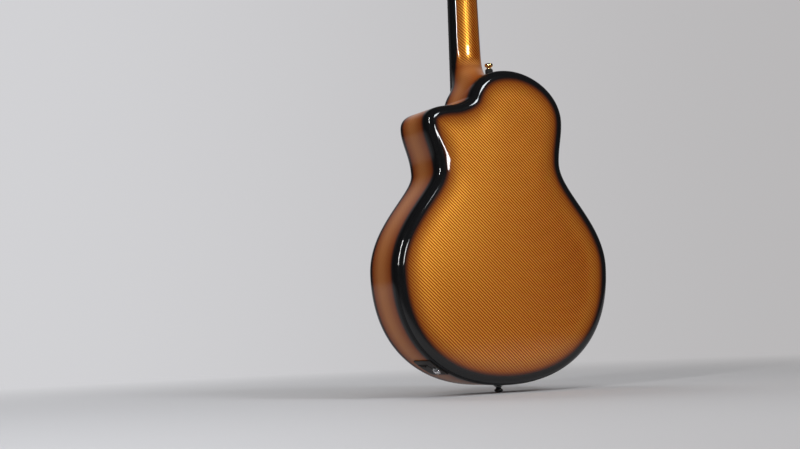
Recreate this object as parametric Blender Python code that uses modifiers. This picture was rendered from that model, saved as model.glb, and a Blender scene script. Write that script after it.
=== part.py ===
"""Acoustic steel-string guitar with a moulded shell, a single cutaway and an output plate in its flank.

The guitar stands upright: +Z runs up the neck, the soundboard faces -Y, and +X is the treble side.
The origin is the middle of the tail's edge at the soundboard's face. Lengths are metres, angles degrees.
"""

import math

import bmesh
import bpy
from mathutils import Matrix, Vector

# Running gap between neighbouring pieces
GAP = 0.0003

# Body outline, seen from the front. The upper half is measured down from the shoulder.
BODY_LENGTH = 0.490
LOWER_HALF = 0.1893
LOWER_HEIGHT = 0.1778
TAIL_REACH = 0.1070
LOWER_REACH_TAIL = 0.1187
LOWER_REACH_WAIST = 0.0735
WAIST_BASS_HALF = 0.1106
WAIST_BASS_DROP = 0.1469
WAIST_BASS_REACH_LOWER = 0.0430
WAIST_BASS_REACH_UPPER = 0.0234
UPPER_HALF = 0.1188
UPPER_DROP = 0.0797
UPPER_REACH_WAIST = 0.0227
UPPER_REACH_SHOULDER = 0.0465
SHOULDER_X = 0.0225
SHOULDER_REACH_UPPER = 0.0454
SHOULDER_REACH_THROAT = 0.0344
THROAT_X = 0.0455
THROAT_DROP = 0.0430
THROAT_SLOPE = -70.1
THROAT_REACH_SHOULDER = 0.0305
THROAT_REACH_FLOOR = 0.0055
CUTAWAY_X = 0.0806
CUTAWAY_DROP = 0.0577
CUTAWAY_SLOPE = -5.0
CUTAWAY_REACH_THROAT = 0.0173
CUTAWAY_REACH_HORN = 0.0237
HORN_X = 0.1264
HORN_DROP = 0.0856
HORN_REACH_CUTAWAY = 0.0212
HORN_REACH_WAIST = 0.0234
WAIST_TREBLE_HALF = 0.1112
WAIST_TREBLE_DROP = 0.1583
WAIST_TREBLE_REACH_UPPER = 0.0296
WAIST_TREBLE_REACH_LOWER = 0.0283

# Body section
BODY_DEPTH = 0.099
BACK_ARCH = 0.006
SHELL_WALL = 0.0025
SOUNDBOARD_WALL = 0.0025
FRONT_EDGE_RADIUS = 0.008
FRONT_LAND = 0.002
BACK_EDGE_RADIUS = 0.013
ARCH_CENTRE_HEIGHT = 0.190
SOUNDHOLE_RADIUS = 0.048
SOUNDHOLE_MARGIN = 0.008

# Strings
SCALE_LENGTH = 0.648
JOINT_FRET = 14
FRET_COUNT = 20
STRING_DIAMETERS = (0.00135, 0.00107, 0.00081, 0.00061, 0.00041, 0.00030)
NUT_SPREAD = 0.0366
SADDLE_SPREAD = 0.054
FIRST_FRET_CLEARANCE = 0.0004
OCTAVE_FRET = 12
OCTAVE_CLEARANCE = 0.0022

# Neck
NECK_HALF_AT_BODY = 0.027
NECK_HALF_AT_NUT = 0.02175
SHAFT_DEPTH_AT_BODY = 0.0200
SHAFT_DEPTH_AT_NUT = 0.0155
HEEL_MARGIN = 0.003
HEEL_MIDDLE = 0.0045
HEEL_SPREAD = 0.009
HEEL_LEAN = 0.0185
HEEL_ROOT = 0.030
HEAD_TILT = 14.0
HEAD_LENGTH = 0.176
HEAD_THICKNESS = 0.014
HEAD_HALF_LOW = 0.0345
HEAD_HALF_HIGH = 0.0365
HEAD_CORNER = 0.003
HEAD_FLARE = 0.024
HEAD_CROWN = 0.030

# Fretboard, frets and nut
FRETBOARD_THICKNESS = 0.006
FRETBOARD_TAIL = 0.007
FRET_CROWN_WIDTH = 0.0024
FRET_CROWN_HEIGHT = 0.0012
FRET_TANG_WIDTH = 0.0006
FRET_TANG_DEPTH = 0.0016
FRET_INSET = 0.0004
NUT_LENGTH = 0.005
NUT_RISE = 0.0010

# Bridge
BRIDGE_HALF = 0.080
BRIDGE_LENGTH = 0.028
BRIDGE_THICKNESS = 0.008
BRIDGE_CORNER = 0.009
BRIDGE_EDGE = 0.0012
SADDLE_THICKNESS = 0.0030
SADDLE_OVERHANG = 0.009
SADDLE_SLOT_DEPTH = 0.005
SADDLE_TO_TAIL_EDGE = 0.014
PICKUP_THICKNESS = 0.0012
BALL_RADIUS = 0.0019
BALL_LENGTH = 0.0032
BALL_POCKET_CLEARANCE = 0.0004
BALL_HEIGHT = 0.0046
BALL_SETBACK = 0.0011

# Tuners, in the headstock's frame: x across, y into the wood, z along the headstock
POST_FIRST = 0.048
POST_PITCH = 0.040
POST_X = 0.0225
POST_RADIUS = 0.0030
POST_WAIST_RADIUS = 0.0026
POST_CAP_RADIUS = 0.0033
POST_HEIGHT = 0.0145
POST_CAP_HEIGHT = 0.0016
POST_BASE_HEIGHT = 0.0028
POST_HOLE_RADIUS = 0.0009
GEAR_RADIUS = 0.0052
GEAR_THICKNESS = 0.0030
WORM_RADIUS = 0.0026
WORM_LENGTH = 0.0100
CHAMBER_CLEARANCE = 0.0005
HOUSING_DEPTH = 0.0125
HOUSING_WALL = 0.0016
HOUSING_ROUND = 0.0012
BUSHING_RADIUS = 0.0050
BUSHING_RISE = 0.0015
KNOB_SHAFT_RADIUS = 0.0021
KNOB_COLLAR_RADIUS = 0.0034
KNOB_COLLAR_LENGTH = 0.0020
KNOB_REACH = 0.0265
KNOB_LENGTH = 0.0140
KNOB_HALF_WIDTH = 0.0098
KNOB_THICKNESS = 0.0066
KNOB_EDGE = 0.0018

# String turns on a post
TURNS = 2.25
POINTS_PER_TURN = 8
TURN_PITCH_CLEARANCE = 0.0009
WRAP_START_HEIGHT = 0.0108

# Strap button beside the heel, end pin at the tail
BUTTON_DEPTH = 0.0350
BUTTON_WASHER_THICKNESS = 0.0115
BUTTON_WASHER_RADIUS = 0.0062
BUTTON_BASE_RADIUS = 0.0046
BUTTON_NECK_RADIUS = 0.0034
BUTTON_HEAD_RADIUS = 0.0066
BUTTON_HEIGHT = 0.0210
BUTTON_STEM_RADIUS = 0.0018
PIN_DEPTH = 0.0560
PIN_WASHER_THICKNESS = 0.0010
PIN_WASHER_RADIUS = 0.0078
PIN_FLANGE_RADIUS = 0.0062
PIN_NECK_RADIUS = 0.0040
PIN_HEAD_RADIUS = 0.0071
PIN_HEIGHT = 0.0115
PIN_STEM_RADIUS = 0.0030
STEM_LENGTH = 0.012

# Output plate, jack and battery drawer on the treble flank
PANEL_STATION = 0.5745
PANEL_LENGTH = 0.039
PANEL_WIDTH = 0.054
PANEL_THICKNESS = 0.0015
PANEL_CORNER = 0.003
PANEL_DEPTH = 0.0595
DRAWER_STATION = 0.5745
DRAWER_DEPTH = 0.0500
JACK_STATION = 0.5905
JACK_DEPTH = 0.0748
BATTERY_LENGTH = 0.0485
BATTERY_WIDTH = 0.0265
BATTERY_THICKNESS = 0.0175
BATTERY_EDGE = 0.0015
DRAWER_WALL = 0.0015
SLEEVE_WALL = 0.0015
DRAWER_FRONT = 0.0030
DRAWER_PROUD = 0.0004
DRAWER_LIP = 0.0016
CONTACT_WINDOW = 0.008
JACK_BORE_RADIUS = 0.00325
JACK_BARREL_RADIUS = 0.0055
JACK_TIP_RADIUS = 0.0047
JACK_NUT_RADIUS = 0.0070
JACK_NUT_HEIGHT = 0.0025
JACK_TIP_HEIGHT = 0.0020
JACK_BORE_DEPTH = 0.028
JACK_END_WALL = 0.002

# Facets
SIDE_STEPS = (11, 9, 5, 8, 8, 5, 7, 6, 9, 11)
LAST_SPAN = len(SIDE_STEPS) - 1
EDGE_STEPS = 4
FRONT_EDGE_STEPS = 3
ROUND_STEPS = 16
SMALL_STEPS = 12
TUNER_STEPS = 12
KNOB_STEPS = 16
HOLE_STEPS = 8

PARTS = bpy.data.collections.new("guitar")
CUTTERS = bpy.data.collections.new("cutters")


def clear_scene():
    """Remove what the scene holds, and link the two collections."""
    for obj in list(bpy.data.objects):
        bpy.data.objects.remove(obj, do_unlink=True)
    bpy.context.scene.collection.children.link(PARTS)
    bpy.context.scene.collection.children.link(CUTTERS)


def principled(name, colour, roughness, metallic=0.0):
    """Material with one Principled surface."""
    material = bpy.data.materials.new(name)
    material.use_nodes = True
    surface = material.node_tree.nodes["Principled BSDF"]
    surface.inputs["Base Color"].default_value = (*colour, 1.0)
    surface.inputs["Roughness"].default_value = roughness
    surface.inputs["Metallic"].default_value = metallic
    return material


def make_materials():
    """Finishes of the guitar, by name."""
    return {
        "gold_weave": principled("gold_weave", (0.60, 0.25, 0.04), 0.12),
        "black_gloss": principled("black_gloss", (0.012, 0.012, 0.013), 0.10),
        "fretboard_black": principled("fretboard_black", (0.015, 0.015, 0.016), 0.35),
        "bone": principled("bone", (0.78, 0.74, 0.62), 0.35),
        "nickel": principled("nickel", (0.75, 0.73, 0.70), 0.22, 1.0),
        "gold": principled("gold", (0.83, 0.60, 0.26), 0.20, 1.0),
        "chrome": principled("chrome", (0.80, 0.80, 0.82), 0.08, 1.0),
        "bronze_wire": principled("bronze_wire", (0.72, 0.45, 0.25), 0.30, 1.0),
        "steel_wire": principled("steel_wire", (0.75, 0.75, 0.76), 0.25, 1.0),
        "black_plastic": principled("black_plastic", (0.02, 0.02, 0.02), 0.45),
        "black_felt": principled("black_felt", (0.01, 0.01, 0.01), 0.95),
        "pickup_strip": principled("pickup_strip", (0.55, 0.35, 0.20), 0.50),
        "battery_case": principled("battery_case", (0.10, 0.11, 0.12), 0.35),
    }


def add_object(name, mesh, material=None, collection=None):
    """Object for a mesh, linked to the parts or to a named collection."""
    obj = bpy.data.objects.new(name, mesh)
    (collection or PARTS).objects.link(obj)
    if material is not None:
        mesh.materials.clear()
        mesh.materials.append(material)
    return obj


def as_cutter(obj):
    """Keep a cutter out of renders, drawn as wire."""
    obj.hide_render = True
    obj.display_type = "WIRE"
    return obj


def mesh_from(bm, name):
    """Mesh data from a bmesh, which is freed."""
    mesh = bpy.data.meshes.new(name)
    bm.to_mesh(mesh)
    bm.free()
    return mesh


def boolean(obj, other, operation="DIFFERENCE"):
    """Live Boolean between two closed objects."""
    modifier = obj.modifiers.new(f"{operation.lower()} {other.name}", "BOOLEAN")
    modifier.operation = operation
    modifier.object = other
    modifier.solver = "EXACT"
    return modifier


def bevel(obj, width, segments=2, angle=40.0):
    """Rounded edges where faces meet at more than an angle."""
    modifier = obj.modifiers.new("rounded edges", "BEVEL")
    modifier.width = width
    modifier.segments = segments
    modifier.limit_method = "ANGLE"
    modifier.angle_limit = math.radians(angle)
    return modifier


def baked_mesh(obj, name):
    """Mesh of an object with its modifiers applied; the object is removed."""
    evaluated = obj.evaluated_get(bpy.context.evaluated_depsgraph_get())
    mesh = bpy.data.meshes.new_from_object(evaluated)
    mesh.name = name
    bm = bmesh.new()
    bm.from_mesh(mesh)
    bmesh.ops.remove_doubles(bm, verts=bm.verts, dist=1e-6)
    bm.to_mesh(mesh)
    bm.free()
    bpy.data.objects.remove(obj, do_unlink=True)
    return mesh


def smooth(mesh, angle=35.0):
    """Smooth shading with sharp edges past an angle."""
    mesh.shade_smooth()
    mesh.set_sharp_from_angle(angle=math.radians(angle))


def box_mesh(name, low, high):
    """Box between two corners."""
    bm = bmesh.new()
    bmesh.ops.create_cube(bm, size=1.0)
    low, high = Vector(low), Vector(high)
    size = high - low
    for vert in bm.verts:
        vert.co = Vector([low[i] + (vert.co[i] + 0.5) * size[i] for i in range(3)])
    return mesh_from(bm, name)


def cylinder_between(name, start, end, radius, steps=ROUND_STEPS):
    """Closed cylinder from one point to another."""
    start, end = Vector(start), Vector(end)
    axis = end - start
    turn = axis.to_track_quat("Z", "Y").to_matrix().to_4x4()
    bm = bmesh.new()
    bmesh.ops.create_cone(bm, cap_ends=True, segments=steps, radius1=radius, radius2=radius,
                          depth=axis.length, matrix=Matrix.Translation((start + end) / 2) @ turn)
    return mesh_from(bm, name)


def turned(name, profile, steps=ROUND_STEPS, closed=False):
    """Mesh turned about Z from (radius, height) points that run down the outer side."""
    bm = bmesh.new()
    verts = [bm.verts.new((radius, 0.0, height)) for radius, height in profile]
    for first, second in zip(verts, verts[1:]):
        bm.edges.new((first, second))
    if closed:
        bm.edges.new((verts[-1], verts[0]))
    obj = add_object(name, mesh_from(bm, name), collection=CUTTERS)
    screw = obj.modifiers.new("turn", "SCREW")
    screw.axis = "Z"
    screw.steps = steps
    screw.render_steps = steps
    screw.use_merge_vertices = True
    screw.merge_threshold = 0.00001
    return baked_mesh(obj, name)


def loft(name, rings, centre=None, flip=False, cap=False):
    """Surface through closed rings of equally many points, closed by a centre point or by end caps."""
    bm = bmesh.new()
    rows = [[bm.verts.new(point) for point in ring] for ring in rings]
    count = len(rows[0])
    for near, far in zip(rows, rows[1:]):
        for i in range(count):
            j = (i + 1) % count
            bm.faces.new((near[i], near[j], far[j], far[i]))
    if centre is not None:
        tip = bm.verts.new(centre)
        for i in range(count):
            bm.faces.new((rows[-1][i], rows[-1][(i + 1) % count], tip))
    if cap:
        bm.faces.new(list(reversed(rows[0])))
        bm.faces.new(rows[-1])
    if flip:
        bmesh.ops.reverse_faces(bm, faces=bm.faces)
    return mesh_from(bm, name)


def heading(angle):
    """Unit vector in the outline's plane, as (x, z), at an angle from +X."""
    return Vector((math.cos(math.radians(angle)), math.sin(math.radians(angle))))


def outline_nodes():
    """Place, heading, reach before and reach after of each node of the body outline."""
    top = BODY_LENGTH
    return (
        (Vector((0.0, 0.0)), 180.0, TAIL_REACH, TAIL_REACH),
        (Vector((-LOWER_HALF, LOWER_HEIGHT)), 90.0, LOWER_REACH_TAIL, LOWER_REACH_WAIST),
        (Vector((-WAIST_BASS_HALF, top - WAIST_BASS_DROP)), 90.0,
         WAIST_BASS_REACH_LOWER, WAIST_BASS_REACH_UPPER),
        (Vector((-UPPER_HALF, top - UPPER_DROP)), 90.0, UPPER_REACH_WAIST, UPPER_REACH_SHOULDER),
        (Vector((-SHOULDER_X, top)), 0.0, SHOULDER_REACH_UPPER, SHOULDER_REACH_THROAT),
        (Vector((THROAT_X, top - THROAT_DROP)), THROAT_SLOPE, THROAT_REACH_SHOULDER, THROAT_REACH_FLOOR),
        (Vector((CUTAWAY_X, top - CUTAWAY_DROP)), CUTAWAY_SLOPE, CUTAWAY_REACH_THROAT, CUTAWAY_REACH_HORN),
        (Vector((HORN_X, top - HORN_DROP)), -90.0, HORN_REACH_CUTAWAY, HORN_REACH_WAIST),
        (Vector((WAIST_TREBLE_HALF, top - WAIST_TREBLE_DROP)), -90.0,
         WAIST_TREBLE_REACH_UPPER, WAIST_TREBLE_REACH_LOWER),
        (Vector((LOWER_HALF, LOWER_HEIGHT)), -90.0, LOWER_REACH_WAIST, LOWER_REACH_TAIL),
    )


def outline_at(span, t):
    """Point and outward normal, as (x, z), at a share t of one span of the outline."""
    nodes = outline_nodes()
    start, start_angle, _, reach_out = nodes[span]
    end, end_angle, reach_in, _ = nodes[(span + 1) % len(nodes)]
    first = start + heading(start_angle) * reach_out
    second = end - heading(end_angle) * reach_in
    u = 1.0 - t
    point = start * u ** 3 + first * 3 * u * u * t + second * 3 * u * t * t + end * t ** 3
    travel = (first - start) * u * u + (second - first) * 2 * u * t + (end - second) * t * t
    travel.normalize()
    return point, Vector((-travel.y, travel.x))


def outline_ring(inset, y):
    """Closed ring of the outline, moved inward by an inset, at one depth."""
    ring = []
    for span, steps in enumerate(SIDE_STEPS):
        for step in range(steps):
            point, normal = outline_at(span, step / steps)
            place = point - normal * inset
            ring.append(Vector((place.x, y, place.y)))
    return ring


def shrunk_ring(ring, share, y):
    """Ring drawn in towards the arch's centre, at one depth."""
    return [Vector((p.x * share, y, ARCH_CENTRE_HEIGHT + (p.z - ARCH_CENTRE_HEIGHT) * share)) for p in ring]


def rim_matrix(t, y):
    """Frame on the treble rim: X along it towards the tail, Y into the body's depth, Z out of the flank."""
    point, normal = outline_at(LAST_SPAN, t)
    out = Vector((normal.x, 0.0, normal.y))
    depth = Vector((0.0, 1.0, 0.0))
    along = depth.cross(out)
    turn = Matrix((along, depth, out)).transposed().to_4x4()
    return Matrix.Translation(Vector((point.x, y, point.y))) @ turn


def outline_prism(name, offset, front, back):
    """Closed prism of the outline, grown outward by an offset."""
    rings = [outline_ring(-offset, front), outline_ring(-offset, back)]
    return loft(name, rings, cap=True)


def fret_height(number):
    """Distance from the nut to a fret."""
    return SCALE_LENGTH * (1.0 - 2.0 ** (-number / 12.0))


def nut_z():
    """Height of the fretboard's nut end."""
    return BODY_LENGTH + fret_height(JOINT_FRET)


def saddle_z():
    """Height of the saddle's middle."""
    return nut_z() - SCALE_LENGTH


def fret_z(number):
    """Height of a fret."""
    return nut_z() - fret_height(number)


def fretboard_end_z():
    """Height of the fretboard's body end."""
    return fret_z(FRET_COUNT) - FRETBOARD_TAIL


def neck_half(z):
    """Half width of the neck and fretboard at one height."""
    share = (z - BODY_LENGTH) / (nut_z() - BODY_LENGTH)
    return NECK_HALF_AT_BODY + (NECK_HALF_AT_NUT - NECK_HALF_AT_BODY) * share


def string_underside(z):
    """Distance from the soundboard's face out to the strings' undersides at one height."""
    crown = GAP + FRETBOARD_THICKNESS + FRET_CROWN_HEIGHT
    octave = fret_z(OCTAVE_FRET)
    rise = (OCTAVE_CLEARANCE - FIRST_FRET_CLEARANCE) / (nut_z() - octave)
    return crown + FIRST_FRET_CLEARANCE + rise * (nut_z() - z)


def string_x(index, z):
    """Sideways place of a string at one height between saddle and nut."""
    share = index / (len(STRING_DIAMETERS) - 1) - 0.5
    along = (z - saddle_z()) / SCALE_LENGTH
    return share * (SADDLE_SPREAD + (NUT_SPREAD - SADDLE_SPREAD) * along)


def head_matrix():
    """Frame of the headstock's face: y into the wood, z along the headstock."""
    origin = Vector((0.0, 0.0, nut_z() + NUT_LENGTH))
    return Matrix.Translation(origin) @ Matrix.Rotation(math.radians(-HEAD_TILT), 4, "X")


def bridge_z_range():
    """Lowest and highest height of the bridge."""
    low = saddle_z() - SADDLE_TO_TAIL_EDGE
    return low, low + BRIDGE_LENGTH


def make_body_shell(material):
    """Back and sides in one moulded shell, open at the front, with holes for pin, button and plate."""
    front = FRONT_EDGE_RADIUS + FRONT_LAND + GAP
    rings = [outline_ring(0.0, front), outline_ring(0.0, BODY_DEPTH - BACK_EDGE_RADIUS)]
    for step in range(1, EDGE_STEPS + 1):
        angle = math.radians(90.0 * step / EDGE_STEPS)
        inset = BACK_EDGE_RADIUS * (1.0 - math.cos(angle))
        depth = BODY_DEPTH - BACK_EDGE_RADIUS * (1.0 - math.sin(angle))
        rings.append(outline_ring(inset, depth))
    edge = rings[-1]
    for share in (0.82, 0.55, 0.25):
        rings.append(shrunk_ring(edge, share, BODY_DEPTH + BACK_ARCH * (1.0 - share ** 2)))
    centre = (0.0, BODY_DEPTH + BACK_ARCH, ARCH_CENTRE_HEIGHT)
    mesh = loft("body_shell", rings, centre=centre)
    smooth(mesh)
    shell = add_object("body_shell", mesh, material)
    wall = shell.modifiers.new("wall", "SOLIDIFY")
    wall.thickness = SHELL_WALL
    wall.offset = -1.0
    wall.use_even_offset = True
    for cutter in shell_cutters():
        boolean(shell, cutter)
    return shell


def shell_cutters():
    """Cutters for the holes in the shell."""
    reach = 2 * SHELL_WALL
    pin = cylinder_between("pin_hole", (0, PIN_DEPTH, -reach), (0, PIN_DEPTH, 2 * reach),
                           PIN_STEM_RADIUS + GAP)
    top = BODY_LENGTH
    button = cylinder_between("button_hole", (-SHOULDER_X, BUTTON_DEPTH, top - 2 * reach),
                              (-SHOULDER_X, BUTTON_DEPTH, top + reach), BUTTON_STEM_RADIUS + GAP)
    half_x, half_y, _ = sleeve_half_sizes()
    depth = 2 * SHELL_WALL + PANEL_THICKNESS
    opening = box_mesh("sleeve_opening", (-half_x - GAP, -half_y - GAP, -2 * depth),
                       (half_x + GAP, half_y + GAP, depth))
    opening.transform(rim_matrix(DRAWER_STATION, DRAWER_DEPTH))
    jack = cylinder_between("jack_opening", (0, 0, -2 * depth), (0, 0, depth), JACK_BARREL_RADIUS + 2 * GAP)
    jack.transform(rim_matrix(JACK_STATION, JACK_DEPTH))
    meshes = (pin, button, opening, jack)
    return [as_cutter(add_object(mesh.name, mesh, collection=CUTTERS)) for mesh in meshes]


def make_soundboard(material):
    """Top plate with a rolled edge that meets the shell's rim, cut by the soundhole."""
    rings = [outline_ring(0.0, FRONT_EDGE_RADIUS + FRONT_LAND), outline_ring(0.0, FRONT_EDGE_RADIUS)]
    for step in range(1, FRONT_EDGE_STEPS + 1):
        angle = math.radians(90.0 * step / FRONT_EDGE_STEPS)
        inset = FRONT_EDGE_RADIUS * (1.0 - math.cos(angle))
        rings.append(outline_ring(inset, FRONT_EDGE_RADIUS * (1.0 - math.sin(angle))))
    mesh = loft("soundboard", rings, centre=(0.0, 0.0, ARCH_CENTRE_HEIGHT), flip=True)
    smooth(mesh)
    board = add_object("soundboard", mesh, material)
    wall = board.modifiers.new("wall", "SOLIDIFY")
    wall.thickness = SOUNDBOARD_WALL
    wall.offset = -1.0
    wall.use_even_offset = True
    height = fretboard_end_z() - SOUNDHOLE_MARGIN - SOUNDHOLE_RADIUS
    reach = 3 * SOUNDBOARD_WALL
    hole = cylinder_between("soundhole", (0, -reach, height), (0, reach, height), SOUNDHOLE_RADIUS, steps=40)
    boolean(board, as_cutter(add_object("soundhole", hole, collection=CUTTERS)))
    return board


def heel_share(above):
    """Share of the heel's full depth at a height above the shoulder."""
    return 1.0 / (1.0 + math.exp((above - HEEL_MIDDLE) / HEEL_SPREAD))


def neck_section(matrix, half, depth, square=0.0, lean=0.0):
    """Section of the neck: flat front from edge to edge, and a back between round and square."""
    flat = half - HEAD_CORNER
    nearly = depth - HEAD_CORNER
    chamfer = HEAD_CORNER * (1.0 - math.sqrt(0.5))
    side = ((half, 0.0), (half, nearly * 0.5), (half, nearly), (half - chamfer, depth - chamfer),
            (flat, depth), (flat * 2 / 3, depth), (flat / 3, depth), (0.0, depth))
    boxed = side + tuple((-x, y) for x, y in reversed(side[:-1]))
    points = []
    for i, (box_x, box_y) in enumerate(boxed):
        angle = math.pi * i / (len(boxed) - 1)
        round_x = half * math.cos(angle) + lean * math.sin(angle)
        round_y = depth * math.sin(angle)
        x = round_x + (box_x - round_x) * square
        y = round_y + (box_y - round_y) * square
        points.append(matrix @ Vector((x, y, 0.0)))
    return points


def head_half(along):
    """Half width of the headstock at a distance along it."""
    share = along / HEAD_LENGTH
    wide = HEAD_HALF_LOW + (HEAD_HALF_HIGH - HEAD_HALF_LOW) * share
    if along < HEAD_FLARE:
        rise = 0.5 - 0.5 * math.cos(math.pi * along / HEAD_FLARE)
        return NECK_HALF_AT_NUT + (wide - NECK_HALF_AT_NUT) * rise
    crown = max(0.0, (along - (HEAD_LENGTH - HEAD_CROWN)) / HEAD_CROWN)
    return wide * (0.45 + 0.55 * math.sqrt(max(0.0, 1.0 - crown ** 2)))


def make_neck(material):
    """Neck shaft with its heel and the tilted headstock, cut to the body and bored for the tuners."""
    full_heel = BODY_DEPTH - BACK_EDGE_RADIUS - HEEL_MARGIN
    top, nut = BODY_LENGTH, nut_z()
    rings = []

    def shaft_section(z, square=0.0):
        share = (z - top) / (nut - top)
        shaft = SHAFT_DEPTH_AT_BODY + (SHAFT_DEPTH_AT_NUT - SHAFT_DEPTH_AT_BODY) * max(0.0, share)
        heel = heel_share(z - top)
        depth = shaft + (full_heel - shaft) * heel
        place = Matrix.Translation((0.0, 0.0, z))
        rings.append(neck_section(place, neck_half(z), depth, square, HEEL_LEAN * heel))

    for above in (-1.0, -0.4, -0.13, 0.07, 0.27, 0.5, 0.8, 1.2, 1.7, 2.4):
        shaft_section(top + above * HEEL_ROOT)
    for share in (0.34, 0.5, 0.66, 0.82):
        shaft_section(top + (nut - top) * share)
    shaft_section(nut - HEAD_FLARE / 2)
    head = head_matrix()
    half_tilt = Matrix.Translation(head.translation) @ Matrix.Rotation(math.radians(-HEAD_TILT / 2), 4, "X")
    rings.append(neck_section(half_tilt, NECK_HALF_AT_NUT, SHAFT_DEPTH_AT_NUT, 0.3))
    flare = head @ Matrix.Translation((0, 0, HEAD_FLARE / 2))
    rings.append(neck_section(flare, head_half(HEAD_FLARE / 2), HEAD_THICKNESS, 0.8))
    crown = HEAD_LENGTH - HEAD_CROWN
    stations = [HEAD_FLARE, (HEAD_FLARE + crown) / 2, crown]
    stations += [crown + HEAD_CROWN * share for share in (0.4, 0.7, 0.88, 1.0)]
    for along in stations:
        place = head @ Matrix.Translation((0, 0, along))
        rings.append(neck_section(place, head_half(along), HEAD_THICKNESS, 1.0))
    mesh = loft("neck", rings, cap=True)
    smooth(mesh)
    neck = add_object("neck", mesh, material)
    body = outline_prism("body_room", GAP, -FRONT_EDGE_RADIUS, BODY_DEPTH)
    boolean(neck, as_cutter(add_object("body_room", body, collection=CUTTERS)))
    for number, place, _ in tuner_places():
        hole = cylinder_between(f"tuner_hole_{number}", (0, -HEAD_THICKNESS, 0), (0, 2 * HEAD_THICKNESS, 0),
                                BUSHING_RADIUS + GAP)
        hole.transform(head @ place)
        boolean(neck, as_cutter(add_object(hole.name, hole, collection=CUTTERS)))
    return neck


def board_outline(low, high, inset):
    """Tapered outline of the fretboard, as (x, z) points."""
    return [(-neck_half(low) + inset, low), (neck_half(low) - inset, low),
            (neck_half(high) - inset, high), (-neck_half(high) + inset, high)]


def flat_curve(name, points, half_thickness, material, matrix):
    """Flat outline of straight runs, extruded both ways along its frame's Z."""
    curve = bpy.data.curves.new(name, "CURVE")
    curve.dimensions = "2D"
    curve.fill_mode = "BOTH"
    curve.extrude = half_thickness
    spline = curve.splines.new("POLY")
    spline.points.add(len(points) - 1)
    for target, (x, y) in zip(spline.points, points):
        target.co = (x, y, 0.0, 1.0)
    spline.use_cyclic_u = True
    curve.materials.append(material)
    obj = bpy.data.objects.new(name, curve)
    PARTS.objects.link(obj)
    obj.matrix_world = matrix
    return obj


def front_matrix(y):
    """Frame that lays an (x, z) outline parallel to the soundboard at one depth."""
    return Matrix.Translation((0.0, y, 0.0)) @ Matrix.Rotation(math.radians(90.0), 4, "X")


def curve_to_mesh_object(obj):
    """Replace a curve object by a welded mesh object of the same name."""
    name, matrix = obj.name, obj.matrix_world.copy()
    material = obj.data.materials[0]
    obj.name = f"{name} curve"
    mesh = baked_mesh(obj, name)
    result = add_object(name, mesh, material)
    result.matrix_world = matrix
    return result


def make_fretboard(material):
    """Tapered board over the neck and the upper body, slotted for the frets."""
    middle = -(GAP + FRETBOARD_THICKNESS / 2)
    outline = board_outline(fretboard_end_z(), nut_z() - GAP, 0.0)
    board = flat_curve("fretboard", outline, FRETBOARD_THICKNESS / 2, material, front_matrix(middle))
    board = curve_to_mesh_object(board)
    top = GAP + FRETBOARD_THICKNESS
    half = FRET_TANG_WIDTH / 2 + GAP
    bm = bmesh.new()
    for number in range(1, FRET_COUNT + 1):
        z = fret_z(number)
        wide = 2 * NECK_HALF_AT_BODY
        slot = box_mesh("slot", (-wide, -2 * top, z - half), (wide, -(top - FRET_TANG_DEPTH - GAP), z + half))
        bm.from_mesh(slot)
        bpy.data.meshes.remove(slot)
    slots = add_object("fret_slots", mesh_from(bm, "fret_slots"), collection=CUTTERS)
    boolean(board, as_cutter(slots))
    return board


def fret_profile():
    """Section of a fret: rounded crown over a tang, as (across, up) points."""
    half, tang = FRET_CROWN_WIDTH / 2, FRET_TANG_WIDTH / 2
    points = [(-tang, -FRET_TANG_DEPTH), (tang, -FRET_TANG_DEPTH), (tang, GAP)]
    for step in range(7):
        angle = math.pi * step / 6
        points.append((half * math.cos(angle), GAP + (FRET_CROWN_HEIGHT - GAP) * math.sin(angle)))
    points.append((-tang, GAP))
    return points


def make_frets(material):
    """Frets, each a T section as long as the board is wide there."""
    top = GAP + FRETBOARD_THICKNESS
    for number in range(1, FRET_COUNT + 1):
        z = fret_z(number)
        frame = Matrix(((0, 0, 1), (0, -1, 0), (1, 0, 0))).to_4x4()
        frame = Matrix.Translation((0.0, -top, z)) @ frame
        half = neck_half(z) - FRET_INSET
        flat_curve(f"fret_{number:02d}", fret_profile(), half, material, frame)


def make_nut(material):
    """Nut across the end of the fretboard, with one groove for each string."""
    z = nut_z()
    height = string_underside(z) + NUT_RISE
    half = NECK_HALF_AT_NUT
    mesh = box_mesh("nut", (-half, -height, z), (half, -GAP, z + NUT_LENGTH))
    nut = add_object("nut", mesh, material)
    bevel(nut, NUT_RISE / 2)
    bm = bmesh.new()
    for index, diameter in enumerate(STRING_DIAMETERS):
        x = string_x(index, z)
        wide = diameter / 2 + GAP + abs(x - string_x(index, z + NUT_LENGTH))
        floor = string_underside(z + NUT_LENGTH) - GAP
        groove = box_mesh("groove", (x - wide, -2 * height, z - NUT_LENGTH),
                          (x + wide, -floor, z + 2 * NUT_LENGTH))
        bm.from_mesh(groove)
        bpy.data.meshes.remove(groove)
    grooves = add_object("nut_grooves", mesh_from(bm, "nut_grooves"), collection=CUTTERS)
    boolean(nut, as_cutter(grooves))


def rounded_rectangle(low, high, radius, steps=4):
    """Corner-rounded rectangle between two corners, as points."""
    points = []
    corners = ((high[0], high[1], 0), (low[0], high[1], 90), (low[0], low[1], 180), (high[0], low[1], 270))
    for x, y, start in corners:
        centre_x = x - math.copysign(radius, x - (low[0] + high[0]) / 2)
        centre_y = y - math.copysign(radius, y - (low[1] + high[1]) / 2)
        for step in range(steps + 1):
            angle = math.radians(start + 90.0 * step / steps)
            points.append((centre_x + radius * math.cos(angle), centre_y + radius * math.sin(angle)))
    return points


def saddle_half():
    """Half length of the saddle."""
    return SADDLE_SPREAD / 2 + SADDLE_OVERHANG


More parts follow.
